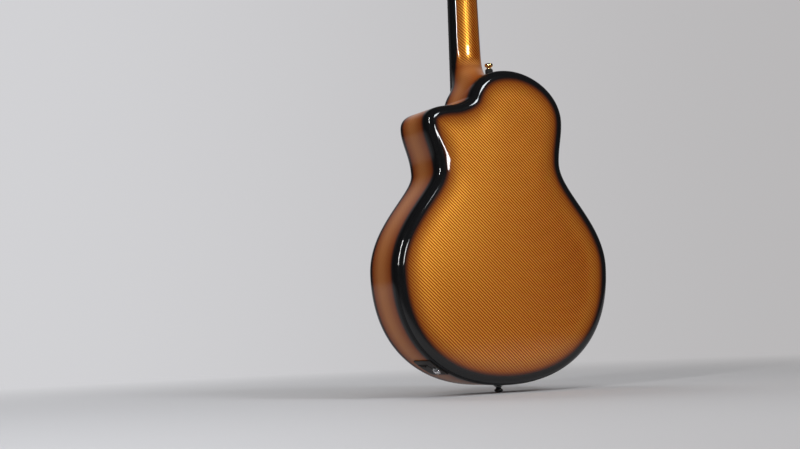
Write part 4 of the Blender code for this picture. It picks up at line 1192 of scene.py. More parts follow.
    def board(self) -> bpy.types.Object:
        """Soundboard with its rolled edge, drawn in to the soundhole.

        Returns:
            The soundboard.
        """
        rows = [self.outline.ring(0.0, self.front_radius + land) for land in (self.land, 0.0)]
        angles = [math.radians(90.0 * step / self.front_steps) for step in range(1, self.front_steps + 1)]
        rows += [self.outline.ring(inset, drop) for inset, drop in rolled(self.front_radius, angles)]
        edge_rows, rim = len(rows), rows[-1]
        centre = np.array([0.0, 0.0, self.hole_height])
        bearing = np.arctan2(rim[:, 2] - self.hole_height, rim[:, 0])
        round_hole = np.stack([np.cos(bearing), np.zeros(len(bearing)), np.sin(bearing)], axis=1)
        near = centre + round_hole * (self.hole_radius + self.hole_border)
        rows += [rim + (near - rim) * share for share in self.board_shares]
        rows += [centre + round_hole * (self.hole_radius + margin) for margin in self.hole_margins]
        rows = np.array(rows)
        burst = np.clip(self.outline.distance(rows) / self.black_back, 0.0, MARK_LIMIT)
        from_hole = np.linalg.norm(rows[..., [0, 2]] - centre[[0, 2]], axis=2) - self.hole_radius
        on_face = np.arange(len(rows))[:, None] >= edge_rows
        burst = np.minimum(burst, np.where(on_face, from_hole / self.hole_black, MARK_LIMIT))
        return self.moulded("top_plate", rows, self.board_side_rows, burst, np.ones(rows.shape[:2]))


@dataclass
class Neck:
    """Neck with its heel running into the shell, and the tilted headstock."""

    body: Body
    top: float = 0.490
    nut: float = 0.849349
    nut_length: float = 0.005
    half_at_body: float = 0.027
    half_at_nut: float = 0.02175
    depth_at_body: float = 0.0200
    depth_at_nut: float = 0.0155
    heel_depth: float = 0.083
    heel_middle: float = 0.0045
    heel_spread: float = 0.009
    heel_lean: float = 0.0185
    foot_search: tuple[float, float, float] = (0.045, -0.05, 0.0004)
    foot_reach: float = 0.0035
    foot_spread: float = 0.006
    foot_rise: float = 1.5
    foot_pull: float = 0.38
    foot_points: int = 9
    foot_under: tuple[float, float] = (0.003, 0.0008)
    edge_angle: float = 0.02
    flank_top: float = 0.060
    flank_rows: int = 16
    shaft_ends: tuple[float, float] = (0.075, 0.026)
    shaft_rows: int = 14
    tilt: float = 14.0
    head_length: float = 0.176
    head_thickness: float = 0.014
    head_low: float = 0.0345
    head_high: float = 0.0365
    head_square: tuple[float, float] = (0.006, 0.030)
    head_ways: tuple[float, ...] = (-0.024, -0.020, -0.016, -0.012, -0.008, -0.004, 0.0, 0.003, 0.006, 0.009,
                                    0.012, 0.015, 0.018, 0.021, 0.024, 0.030, 0.050, 0.080, 0.110, 0.135)
    corner: float = 0.003
    flare: float = 0.024
    crown: float = 0.030
    crown_rows: int = 14
    crown_width: float = 0.45
    back_points: int = 49
    front_points: int = 9
    head_black: float = 0.0055
    tip_black: float = 0.009
    head_fade: tuple[float, float] = (0.010, 0.030)
    weave_fade: tuple[float, float] = (0.018, 0.016)

    def head_frame(self) -> Matrix:
        """Frame of the headstock's face: y into the wood, z along the headstock."""
        origin = Vector((0.0, 0.0, self.nut + self.nut_length))
        return Matrix.Translation(origin) @ Matrix.Rotation(math.radians(-self.tilt), 4, "X")

    def half(self, z: float) -> float:
        """Half width of the neck at one height."""
        share = (z - self.top) / (self.nut - self.top)
        return self.half_at_body + (self.half_at_nut - self.half_at_body) * share

    def shaft_depth(self, z: float) -> float:
        """Depth of the neck without its heel at one height."""
        share = max(0.0, (z - self.top) / (self.nut - self.top))
        return self.depth_at_body + (self.depth_at_nut - self.depth_at_body) * share

    def head_half(self, along: float) -> float:
        """Half width of the headstock at a distance along it.

        Args:
            along: The distance from the nut's end.

        Returns:
            The half width.
        """
        wide = self.head_low + (self.head_high - self.head_low) * along / self.head_length
        if along < self.flare:
            rise = 0.5 - 0.5 * math.cos(math.pi * along / self.flare)
            return self.half_at_nut + (wide - self.half_at_nut) * rise
        over = max(0.0, (along - (self.head_length - self.crown)) / self.crown)
        return wide * (self.crown_width + (1.0 - self.crown_width) * math.sqrt(max(0.0, 1.0 - over ** 2)))

    def round_point(self, z: float, angle: float) -> np.ndarray:
        """Point on the neck's back at a height; the angle runs from the treble edge to the bass edge.

        Args:
            z: The height.
            angle: The place round the back.

        Returns:
            The point.
        """
        shaft = self.shaft_depth(z)
        heel = 1.0 / (1.0 + math.exp((z - self.top - self.heel_middle) / self.heel_spread))
        depth = shaft + (self.heel_depth - shaft) * heel
        lean = self.heel_lean * heel
        return np.array([self.half(z) * math.cos(angle) + lean * math.sin(angle), depth * math.sin(angle), z])

    def boxed_point(self, half: float, depth: float, share: float) -> tuple[float, float]:
        """Point on a box's side, back and side with rounded corners, as (x, y), at a share of its length.

        Args:
            half: The box's half width.
            depth: Its depth.
            share: The place along the three sides, from 0 to 1.

        Returns:
            The point.
        """
        side, arc, back = depth - self.corner, math.pi * self.corner / 2, 2 * (half - self.corner)
        way = share * (2 * side + 2 * arc + back)
        mirrored = way > side + arc + back / 2
        if mirrored:
            way = 2 * side + 2 * arc + back - way
        if way < side:
            x, y = half, way
        elif way < side + arc:
            angle = (way - side) / self.corner
            x = half - self.corner * (1.0 - math.cos(angle))
            y = side + self.corner * math.sin(angle)
        else:
            x, y = half - self.corner - (way - side - arc), depth
        return (-x if mirrored else x), y

    def surface_height(self, x: float, y: float) -> float:
        """Height of the body's rim under a point of the heel."""
        return self.body.outline.top_at(x, self.body.edge_inset(y))

    def outward(self, z: float, angle: float) -> np.ndarray:
        """Flat direction out of the neck's back at a height and an angle of the section.

        Args:
            z: The height.
            angle: The place round the back.

        Returns:
            The direction, as (x, y).
        """
        if min(angle, math.pi - angle) < self.edge_angle:
            return np.array([1.0 if angle < math.pi / 2 else -1.0, 0.0])
        ahead, behind = (self.round_point(z, angle + turn) for turn in (self.edge_angle, -self.edge_angle))
        return unit(np.array([ahead[1] - behind[1], behind[0] - ahead[0]]))

    def heel_foot(self, angle: float) -> tuple[np.ndarray, np.ndarray]:
        """Curve from the heel down on to the body's rim, at one angle of the section.

        Args:
            angle: From the treble edge to the bass edge.

        Returns:
            Where the curve leaves the heel, and its other points with one more just under the rim's surface.
        """
        high, low, step = self.foot_search
        z = self.top + high
        point = self.round_point(z, angle)
        while point[2] > self.surface_height(point[0], point[1]) and z > self.top + low:
            z -= step
            point = self.round_point(z, angle)
        reach = self.foot_reach + self.foot_spread * max(0.0, math.cos(angle)) \
            + self.foot_spread * math.sin(angle) ** 2
        outward = self.outward(z, angle)
        start_height = z + reach * self.foot_rise
        start = self.round_point(start_height, angle)
        lead = unit(self.round_point(start_height - 0.0005, angle) - start)
        past, sink = self.foot_under

        def on_rim(way: float) -> np.ndarray:
            """Point on the rim at a way out from the heel.

            Args:
                way: How far out.

            Returns:
                The point.
            """
            x, y = point[:2] + outward * way
            y = max(0.0, y)
            return np.array([x, y, self.surface_height(x, y)])

        foot = on_rim(reach)
        trail = unit(on_rim(reach + sink) - on_rim(reach - sink))
        size = np.linalg.norm(foot - start) * self.foot_pull
        handles = (start, start + lead * size, foot - trail * size, foot)
        curve = [cubic(handles, number / self.foot_points) for number in range(1, self.foot_points + 1)]
        under = on_rim(reach + past) + np.array([0.0, 0.0, -sink])
        return start, np.array([*curve, under])

    def heel_rows(self) -> np.ndarray:
        """Rows from just under the rim up to where the shaft is plain.

        Returns:
            Points as (row, column, 3).
        """
        columns = []
        for number in range(self.back_points):
            angle = math.pi * number / (self.back_points - 1)
            start, foot = self.heel_foot(angle)
            heights = np.linspace(self.top + self.flank_top, start[2], self.flank_rows)
            flank = [self.round_point(z, angle) for z in heights]
            columns.append(np.array([*flank, *foot])[::-1])
        return np.array([self.with_front(row) for row in np.array(columns).transpose(1, 0, 2)])

    def with_front(self, back: np.ndarray) -> np.ndarray:
        """Close a row of back points by the flat front from the bass edge to the treble edge."""
        shares = np.linspace(0.0, 1.0, self.front_points + 2)[1:-1, None]
        return np.concatenate([back, back[-1] + (back[0] - back[-1]) * shares])

    def row(self, matrix: Matrix, half: float, depth: float, square: float) -> np.ndarray:
        """One row round the neck, between a round back and a boxed one.

        Args:
            matrix: The section's frame.
            half: Its half width.
            depth: Its depth.
            square: 0 for a round back, 1 for a boxed one.

        Returns:
            The row's points.
        """
        points = []
        for number in range(self.back_points):
            share = number / (self.back_points - 1)
            angle = math.pi * share
            box_x, box_y = self.boxed_point(half, depth, share)
            x = half * math.cos(angle) * (1.0 - square) + box_x * square
            y = depth * math.sin(angle) * (1.0 - square) + box_y * square
            points.append(list(matrix @ Vector((x, y, 0.0))))
        return self.with_front(np.array(points))

    def head_row(self, way: float) -> np.ndarray:
        """Row at a way along the headstock from the nut, or before it on the neck's bend.

        Args:
            way: The way from the nut's end, below 0 before it.

        Returns:
            The row's points.
        """
        head = self.head_frame()
        along = Vector((0.0, 0.0, way))
        point = head.translation + along if way < 0.0 else head @ along
        bend = eased((way + self.flare) / (2 * self.flare))
        section = Matrix.Translation(point) @ Matrix.Rotation(math.radians(-self.tilt) * bend, 4, "X")
        before, reach = self.head_square
        square = eased((way + before) / reach)
        half = self.half(point.z) if way < 0.0 else self.head_half(way)
        depth = self.depth_at_nut + (self.head_thickness - self.depth_at_nut) * square
        return self.row(section, half, depth, square)

    def model(self) -> bpy.types.Object:
        """The whole neck.

        Returns:
            The neck, with its pattern places and marks.
        """
        rows = list(self.heel_rows())
        low, high = self.shaft_ends
        for z in np.linspace(self.top + low, self.nut - high, self.shaft_rows):
            rows.append(self.row(Matrix.Translation((0.0, 0.0, z)), self.half(z), self.shaft_depth(z), 0.0))
        crown = self.head_length - self.crown
        turns = [math.radians(90.0 * step / self.crown_rows) for step in range(1, self.crown_rows + 1)]
        ways = [*self.head_ways, crown, *(crown + self.crown * math.sin(turn) for turn in turns)]
        rows += [self.head_row(way) for way in ways]
        tip = rows[-1].mean(axis=0)
        for share in (0.7, 0.3, 0.0):
            rows.append(tip + (rows[-1] - tip) * share)
        return self.marked(np.array(rows))

    def edge_mark(self, rows: np.ndarray) -> np.ndarray:
        """Distance from the sprayed edges, where 1 is the end of the black.

        Args:
            rows: Points as (row, column, 3).

        Returns:
            The marks as (row, column).
        """
        body = self.body
        edge = np.minimum(rows[..., 1] / body.black_front, (body.depth - rows[..., 1]) / body.black_side)
        inverse = np.array(self.head_frame().inverted())
        local = rows @ inverse[:3, :3].T + inverse[:3, 3]
        aside = np.abs(local[..., 0])
        wide = aside.max(axis=1, keepdims=True)
        deep = local[..., 1].max(axis=1, keepdims=True)
        on_back = np.clip((local[..., 1] - deep * 0.75) / (deep * 0.2), 0.0, 1.0)
        tip = np.clip((self.head_length - local[..., 2]) / self.tip_black, 0.0, 4.0)
        head = np.minimum(np.clip((wide - aside) / self.head_black, 0.0, 4.0), tip) * on_back
        before, reach = self.head_fade
        share = np.clip((local[..., 2] + before) / reach, 0.0, 1.0)
        edge = edge + (head - edge) * share
        edge[:, self.back_points:] = 0.0
        widened = 1.0 + (edge - 1.0) * (1.0 + 3.0 * self.weave_share(rows) * (1.0 - share))
        return np.clip(np.where(edge > 1.0, widened, edge), 0.0, MARK_LIMIT)

    def weave_share(self, rows: np.ndarray) -> np.ndarray:
        """How far each point is from the heel, where the weave is faint, to the shaft, where it is clear."""
        low, reach = self.weave_fade
        return np.clip((rows[..., 2] - self.top - low) / reach, 0.0, 1.0)

    def marked(self, rows: np.ndarray) -> bpy.types.Object:
        """Skin the rows, with their pattern places and marks.

        Args:
            rows: Points as (row, column, 3).

        Returns:
            The neck.
        """
        faint = self.body.side_weave
        wide = closed(rows)
        runs = np.linalg.norm(np.diff(wide[:, :, :2], axis=1), axis=2)
        across = np.concatenate([np.zeros((len(rows), 1)), np.cumsum(runs, axis=1)], axis=1)
        middle = across[:, self.back_points // 2][:, None]
        places = np.stack([middle - across, wide[..., 2]], axis=2)
        marks = {"burst": self.edge_mark(rows), "weave": faint + (1.0 - faint) * self.weave_share(rows)}
        return smooth(skin("neck_and_heel", rows, places, marks=marks), self.body.crease)


@dataclass
class Shell:
    """Everything that is moulded from the lacquered cloth."""

    finishes: dict[str, bpy.types.Material]
    body: Body
    neck: Neck

    def build(self) -> None:
        """Model the shell, the soundboard and the neck, and dress them."""
        shell = self.openings(self.body.shell())
        cloth, inside = self.finishes["lacquered twill"], self.finishes["inside of the shell"]
        placed(dressed(shell, cloth, inside), stands_for=("body_shell",))
        placed(dressed(self.body.board(), cloth, inside), stands_for=("soundboard",))
        placed(dressed(self.bored(self.neck.model()), cloth), stands_for=("neck",))

    def openings(self, shell: bpy.types.Object) -> bpy.types.Object:
        """Cut the flank for the drawer's sleeve and for the jack.

        Args:
            shell: The shell.

        Returns:
            The shell with both holes.
        """
        outline = self.body.outline
        half_x, half_y = (half + GAP for half in OutputPlate.sleeve_half)
        sleeve = block("sleeve_room", (-half_x, -half_y, -0.02), (half_x, half_y, 0.02))
        settle(sleeve, outline.rim_frame(OutputPlate.drawer_station, OutputPlate.drawer_depth))
        jack = rod("jack_room", (0.0, 0.0, -0.015), (0.0, 0.0, 0.015), OutputPlate.hole_radius + GAP)
        settle(jack, outline.rim_frame(OutputPlate.jack_station, OutputPlate.jack_depth))
        return cut(cut(shell, sleeve), jack)

    def bored(self, neck: bpy.types.Object) -> bpy.types.Object:
        """Bore the headstock for the tuners' bushings.

        Args:
            neck: The neck.

        Returns:
            The neck with its six holes.
        """
        bores = [settle(rod("bore", (0.0, -0.01, 0.0), (0.0, 0.03, 0.0), Tuners.bushing_radius + GAP),
                        self.neck.head_frame() @ place) for _, place, _ in tuner_places()]
        return cut(neck, joined("bores", bores))


# ---------------------------------------------------------------- fittings


@dataclass
class StrapFittings:
    """Strap button beside the heel and end pin under the tail, each on its washer."""

    finishes: dict[str, bpy.types.Material]
    button_x: float = -0.0225
    button_depth: float = 0.0350
    shoulder: float = 0.490
    pin_depth: float = 0.0560
    cushion: float = 0.0115
    cushion_radii: tuple[float, float] = (0.0021, 0.0062)
    washer: float = 0.0010
    washer_radii: tuple[float, float] = (0.0033, 0.0078)
    stem: float = 0.012

    def build(self) -> None:
        """Model both and dress them."""
        top = Matrix.Translation((self.button_x, self.button_depth, self.shoulder + GAP))
        tail = Matrix.Translation((0.0, self.pin_depth, -GAP)) @ Matrix.Rotation(math.pi, 4, "X")
        for piece, place, finish, slot, node in (
                (self.button(), top, "gold plate", Slot.GOLD, "strap_button"),
                (self.ring("button_cushion", self.cushion_radii, self.cushion, 0.0012), top,
                 "pressed felt", Slot.FELT, "strap_button_washer"),
                (self.pin(), tail, "black lacquer", Slot.BLACK_GLOSS, "end_pin"),
                (self.ring("pin_washer", self.washer_radii, self.washer, 0.0003), tail,
                 "pressed felt", Slot.FELT, "end_pin_washer")):
            placed(dressed(settle(piece, place), self.finishes[finish]), stands_for=(node,))

    def ring(self, name: str, radii: tuple[float, float], height: float, rounding: float) -> bpy.types.Object:
        """Washer from z = 0 up with rounded edges.

        Args:
            name: The piece's name.
            radii: Of the hole and of the outside.
            height: The washer's thickness.
            rounding: How far its edges are rounded.

        Returns:
            The washer.
        """
        inner, outer = radii
        profile = ((inner, 0.0), (outer, 0.0), (outer, height), (inner, height), (inner, 0.0))
        return smooth(bevelled(turned(name, profile), rounding, 3))

    def button(self) -> bpy.types.Object:
        """Strap button with a dimpled head.

        Returns:
            The button.
        """
        base = self.cushion + GAP
        profile = ((0.0, 0.0199), (0.0022, 0.0199), (0.0030, 0.0207), (0.0044, 0.0210), (0.0056, 0.0208),
                   (0.0063, 0.0202), (0.0066, 0.0193), (0.0066, 0.0172), (0.0062, 0.0162), (0.0050, 0.0153),
                   (0.0040, 0.0147), (0.0035, 0.0139), (0.0034, 0.0132), (0.0036, 0.0127), (0.0046, 0.0125),
                   (0.0046, base), (0.0018, base), (0.0018, -self.stem), (0.0, -self.stem))
        return smooth(turned("button", profile, 64), 40.0)

    def pin(self) -> bpy.types.Object:
        """End pin with a domed head.

        Returns:
            The pin.
        """
        base = self.washer + GAP
        profile = ((0.0, 0.0115), (0.0020, 0.0115), (0.0040, 0.0110), (0.0058, 0.0100), (0.0068, 0.0089),
                   (0.0071, 0.0080), (0.0070, 0.0073), (0.0062, 0.0064), (0.0048, 0.0055), (0.0041, 0.0047),
                   (0.0040, 0.0038), (0.0045, 0.0030), (0.0062, 0.0024), (0.0062, base), (0.0030, base),
                   (0.0030, -self.stem), (0.0, -self.stem))
        return smooth(turned("pin", profile, 64), 40.0)


@dataclass
class OutputPlate:
    """Plate that follows the flank, with the jack, the sleeve behind it and the battery drawer."""

    finishes: dict[str, bpy.types.Material]
    outline: Outline
    station: float = 0.5745
    depth: float = 0.0595
    length: float = 0.039
    width: float = 0.054
    thickness: float = 0.0015
    corner: float = 0.003
    drawer_station: float = 0.5745
    drawer_depth: float = 0.0500
    jack_station: float = 0.5905
    jack_depth: float = 0.0748
    hole_radius: float = 0.0058
    sleeve_half: tuple[float, float] = (0.01145, 0.01685)
    sleeve_length: float = 0.0535
    sleeve_wall: float = 0.0015
    window_half: float = 0.004
    bore_depth: float = 0.028
    tip_rise: float = 0.0045
    flange: float = 0.0008
    cuts_along: int = 18

    def build(self) -> None:
        """Model plate and jack, and dress them and the drawer."""
        moulding = self.finishes["dark moulding"]
        placed(dressed(self.plate(), moulding), stands_for=("output_panel",))
        place = self.outline.rim_frame(self.jack_station, self.jack_depth)
        jack = joined("jack", (self.barrel(), self.nut()))
        placed(dressed(settle(jack, place), self.finishes["chrome plate"]),
               stands_for=("output_jack",))
        carry("battery_drawer", moulding)
        carry("battery", self.finishes["battery wrap"])

    def on_flank(self, flat: np.ndarray) -> np.ndarray:
        """Lay flat places (along, depth, out) over the curved rim.

        Args:
            flat: Places from the plate's middle, as (point, 3).

        Returns:
            The places on the flank.
        """
        last = len(self.outline.nodes) - 1
        shares = np.linspace(self.station - 0.12, self.station + 0.12, 97)
        samples = [self.outline.at(last, share) for share in shares]
        points = np.array([point for point, _ in samples])
        normals = np.array([normal for _, normal in samples])
        travel = travelled(points)
        travel -= np.interp(self.station, shares, travel)
        x, z = (np.interp(flat[:, 0], travel, points[:, k])
                + np.interp(flat[:, 0], travel, normals[:, k]) * flat[:, 2] for k in (0, 1))
        return np.stack([x, self.depth + flat[:, 1], z], axis=1)

    def plate(self) -> bpy.types.Object:
        """Plate with a rounded rim, its openings and the sleeve.

        Returns:
            The plate.
        """
        half_x, half_y = self.length / 2, self.width / 2
        plate = block("output_plate", (-half_x, -half_y, GAP), (half_x, half_y, GAP + self.thickness))
        start_edit(plate, "EDGE")
        pick_edges(plate, lambda first, second: abs(first.z - second.z) > 1e-4)
        bpy.ops.mesh.bevel(offset=self.corner, segments=8, affect="EDGES")
        pick_edges(plate, lambda first, second: min(first.z, second.z) > GAP + self.thickness - 1e-5)
        bpy.ops.mesh.bevel(offset=0.0006, segments=4, affect="EDGES")
        for way in np.linspace(-half_x, half_x, self.cuts_along)[1:-1]:
            bpy.ops.mesh.select_all(action="SELECT")
            bpy.ops.mesh.bisect(plane_co=(way, 0.0, 0.0), plane_no=(1.0, 0.0, 0.0))
        bpy.ops.object.mode_set(mode="OBJECT")
        flat = np.empty(len(plate.data.vertices) * 3, dtype=np.float32)
        plate.data.vertices.foreach_get("co", flat)
        curved = self.on_flank(flat.reshape(-1, 3).astype(float))
        plate.data.vertices.foreach_set("co", curved.astype(np.float32).ravel())
        plate.data.update()
        return smooth(self.opened(plate), 30.0)

    def opened(self, plate: bpy.types.Object) -> bpy.types.Object:
        """Add the sleeve, and cut the drawer's room, the contacts' window and the jack's hole.

        Args:
            plate: The curved plate.

        Returns:
            The plate with its sleeve and holes.
        """
        drawer = self.outline.rim_frame(self.drawer_station, self.drawer_depth)
        half_x, half_y = self.sleeve_half
        wall, back, side = self.sleeve_wall, -self.sleeve_length, self.window_half
        sleeve = block("sleeve", (-half_x, -half_y, back), (half_x, half_y, GAP + self.thickness / 2))
        room = block("room", (wall - half_x, wall - half_y, back + wall),
                     (half_x - wall, half_y - wall, 0.01))
        window = block("window", (-side, -side, back - wall), (side, side, back / 2))
        hole = rod("hole", (0.0, 0.0, -0.01), (0.0, 0.0, 0.01), self.hole_radius, 48)
        settle(hole, self.outline.rim_frame(self.jack_station, self.jack_depth))
        for tool in (sleeve, room, window):
            settle(tool, drawer)
        cut(plate, sleeve, "UNION")
        for tool in (room, window, hole):
            cut(plate, tool)
        return plate

    def barrel(self) -> bpy.types.Object:
        """Barrel with its blind bore and the rolled tip.

        Returns:
            The barrel.
        """
        seat = 2 * GAP + self.thickness
        rim, tip = seat + self.flange, seat + self.tip_rise
        floor, end = tip - self.bore_depth, tip - self.bore_depth - 0.002
        profile = ((0.0, floor), (0.00325, floor), (0.00325, tip - 0.0006), (0.0037, tip), (0.0043, tip),
                   (0.0047, tip - 0.0005), (0.0047, rim), (0.0070, rim), (0.0070, seat), (0.0055, seat),
                   (0.0055, end), (0.0, end))
        return smooth(turned("barrel", profile, 64), 40.0)

    def nut(self) -> bpy.types.Object:
        """Six-sided nut over the washer.

        Returns:
            The nut.
        """
        low = 2 * GAP + self.thickness + self.flange
        high = low + 0.0017
        profile = ((0.00475, low), (0.0068, low), (0.0068, high), (0.00475, high), (0.00475, low))
        return smooth(bevelled(turned("nut", profile, 6), 0.0003, 2), 30.0)


def carry(node: str, material: bpy.types.Material) -> None:
    """Give a CAD piece that stays in the picture a better finish.

    Args:
        node: The piece's name in the frame.
        material: The finish for all its slots.
    """
    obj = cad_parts[node]
    for slot in obj.material_slots:
        slot.material = material
    LOG.info("%s keeps its solid", node)


def tuner_places() -> list[tuple[int, Matrix, Side]]:
    """Number, frame in the headstock's frame and side of each tuner, from the low string to the high.

    Returns:
        One row for each tuner.
    """
    places = []
    for number in range(1, 7):
        side = Side.BASS if number <= 3 else Side.TREBLE
        row = number - 1 if side is Side.BASS else 6 - number
        place = Matrix.Translation((side.value * Tuners.post_x, 0.0, Tuners.first + Tuners.pitch * row))
        places.append((number, place, side))
    return places


@dataclass
class Tuners:
    """Six geared tuners: housing and bushing on the headstock, a post and a knob that turn."""

    finishes: dict[str, bpy.types.Material]
    neck: Neck
    first: float = 0.048
    pitch: float = 0.040
    post_x: float = 0.0225
    gear_radius: float = 0.0052
    gear_half: float = 0.0015
    worm_radius: float = 0.0026
    worm_half: float = 0.0050
    clearance: float = 0.0005
    wall: float = 0.0016
    housing_depth: float = 0.0125
    bushing_radius: float = 0.0050
    bushing_rise: float = 0.0015
    post_radius: float = 0.0030
    post_height: float = 0.0145
    shaft_radius: float = 0.0021
    collar_radius: float = 0.0034
    waist_radius: float = 0.0026
    waist_foot: float = 0.0028
    cap_height: float = 0.0016
    cross_hole_radius: float = 0.0009
    reach: float = 0.0265
    knob_length: float = 0.0140
    knob_half: float = 0.0098
    knob_thickness: float = 0.0066

    def build(self) -> None:
        """Model one housing for each side, one post and one knob, and copy them to their places."""
        head = self.neck.head_frame()
        gold, black = self.finishes["gold plate"], self.finishes["black lacquer"]
        housings = {side: dressed(self.housing(side), gold) for side in Side}
        post, knob = dressed(self.post(), gold), dressed(self.knob(), black)
        up = Matrix.Rotation(math.radians(90.0), 4, "X")
        for number, place, side in tuner_places():
            out = Matrix.Rotation(math.radians(90.0 * side.value), 4, "Y")
            worm = Matrix.Translation((0.0, self.gear_depth(), self.worm_offset())) @ out
            for pattern, name, turn, slot, body, node in (
                    (housings[side], "housing", Matrix.Identity(4), Slot.GOLD, ROOT_BODY, "tuner_housing"),
                    (post, "string_post", up, Slot.GOLD, f"post_{number}", "tuner_post"),
                    (knob, "button_knob", worm, Slot.BLACK_GLOSS, f"knob_{number}", "tuner_knob")):
                placed(copied(pattern, f"{name}_{number}", head @ place @ turn), body,
                       (f"{node}_{number}",))
        for pattern in (*housings.values(), post, knob):
            bpy.data.objects.remove(pattern, do_unlink=True)

    def gear_depth(self) -> float:
        """Depth of the gear's middle under the headstock's face."""
        return self.neck.head_thickness + GAP + self.housing_depth / 2

    def worm_offset(self) -> float:
        """Distance along the headstock from the post's axis to the worm's axis."""
        return self.gear_radius + self.worm_radius + GAP

    def housing(self, side: Side) -> bpy.types.Object:
        """Rounded housing, hollow for gear and worm, with its bushing and front nut.

        Args:
            side: The side of the headstock that its knob is on.

        Returns:
            The housing.
        """
        front, depth, worm = self.neck.head_thickness + GAP, self.gear_depth(), self.worm_offset()
        chamber, room = self.gear_radius + self.clearance, self.worm_radius + self.clearance
        reach, rise = chamber + self.wall, self.bushing_rise
        half_gear, half_worm = self.gear_half + self.clearance, self.worm_half + self.clearance
        housing = block(f"housing_{side.name}", (-reach, front, -reach),
                        (reach, front + self.housing_depth, worm + room + self.wall))
        bevelled(housing, 0.0012, 4)
        bushing = rod("bushing", (0, -rise * 0.4, 0), (0, front + self.wall, 0), self.bushing_radius, 48)
        nut = bevelled(rod("nut", (0, 0, 0), (0, 0, rise * 0.55), self.bushing_radius * 0.98, 6), 0.0003, 2)
        turn = Matrix.Rotation(math.radians(90.0), 4, "X")
        settle(nut, Matrix.Translation((0.0, -rise * 0.35, 0.0)) @ turn)
        for piece in (bushing, nut):
            cut(housing, piece, "UNION")
        for start, end, radius, steps in (
                ((0, -0.02, 0), (0, depth, 0), self.post_radius + GAP, 40),
                ((0, depth - half_gear, 0), (0, depth + half_gear, 0), chamber, 40),
                ((-half_worm, depth, worm), (half_worm, depth, worm), room, 32),
                ((0, depth, worm), (side.value * 2 * reach, depth, worm), self.shaft_radius + GAP, 32)):
            cut(housing, rod("bore", start, end, radius, steps))
        return smooth(housing, 30.0)

    def post(self) -> bpy.types.Object:
        """String post about Z with its cap, waist, cross hole and gear.

        Returns:
            The post.
        """
        high, waist, gear = self.post_height, self.waist_radius, self.gear_depth()
        profile = ((0.0, high), (0.0022, high), (0.0029, high - 0.0002), (0.0033, high - 0.0007),
                   (0.0033, high - 0.0014), (0.0031, high - self.cap_height), (waist, high - 0.0019),
                   (waist, 0.0036), (0.0028, 0.0030), (self.post_radius, 0.0026),
                   (self.post_radius, self.gear_half - gear), (self.gear_radius, self.gear_half - gear),
                   (self.gear_radius, -self.gear_half - gear), (0.0, -self.gear_half - gear))
        middle = (high - self.cap_height + self.waist_foot) / 2
        hole = rod("hole", (-0.006, 0, middle), (0.006, 0, middle), self.cross_hole_radius, 20)
        return smooth(cut(turned("post", profile, 40), hole), 35.0)

    def knob(self) -> bpy.types.Object:
        """Knob about Z: worm and shaft, collar, and an oval button with a rounded rim.

        Returns:
            The knob.
        """
        inner = self.gear_radius + self.clearance + self.wall + GAP
        tip = self.reach + self.knob_length / 2
        shaft, worm, half = self.shaft_radius, self.worm_radius, self.worm_half
        profile = ((0.0, tip), (shaft, tip), (shaft, inner + 0.0020), (0.0026, inner + 0.0020),
                   (self.collar_radius, inner + 0.0014), (self.collar_radius, inner), (shaft, inner),
                   (shaft, half), (worm, half), (worm, -half), (0.0, -half))
        shaft = turned("knob", profile, 40)
        lay_down()
        bpy.ops.mesh.primitive_cylinder_add(vertices=56, radius=1.0, depth=1.0)
        button = named("button_blank")
        button.scale = (self.knob_half, self.knob_length / 2, self.knob_thickness)
        turn = Matrix.Translation((0.0, 0.0, tip)) @ Matrix.Rotation(math.radians(90.0), 4, "X")
        settle(button, turn)
        bevelled(button, 0.0018, 5)
        return smooth(cut(shaft, button, "UNION"), 35.0)


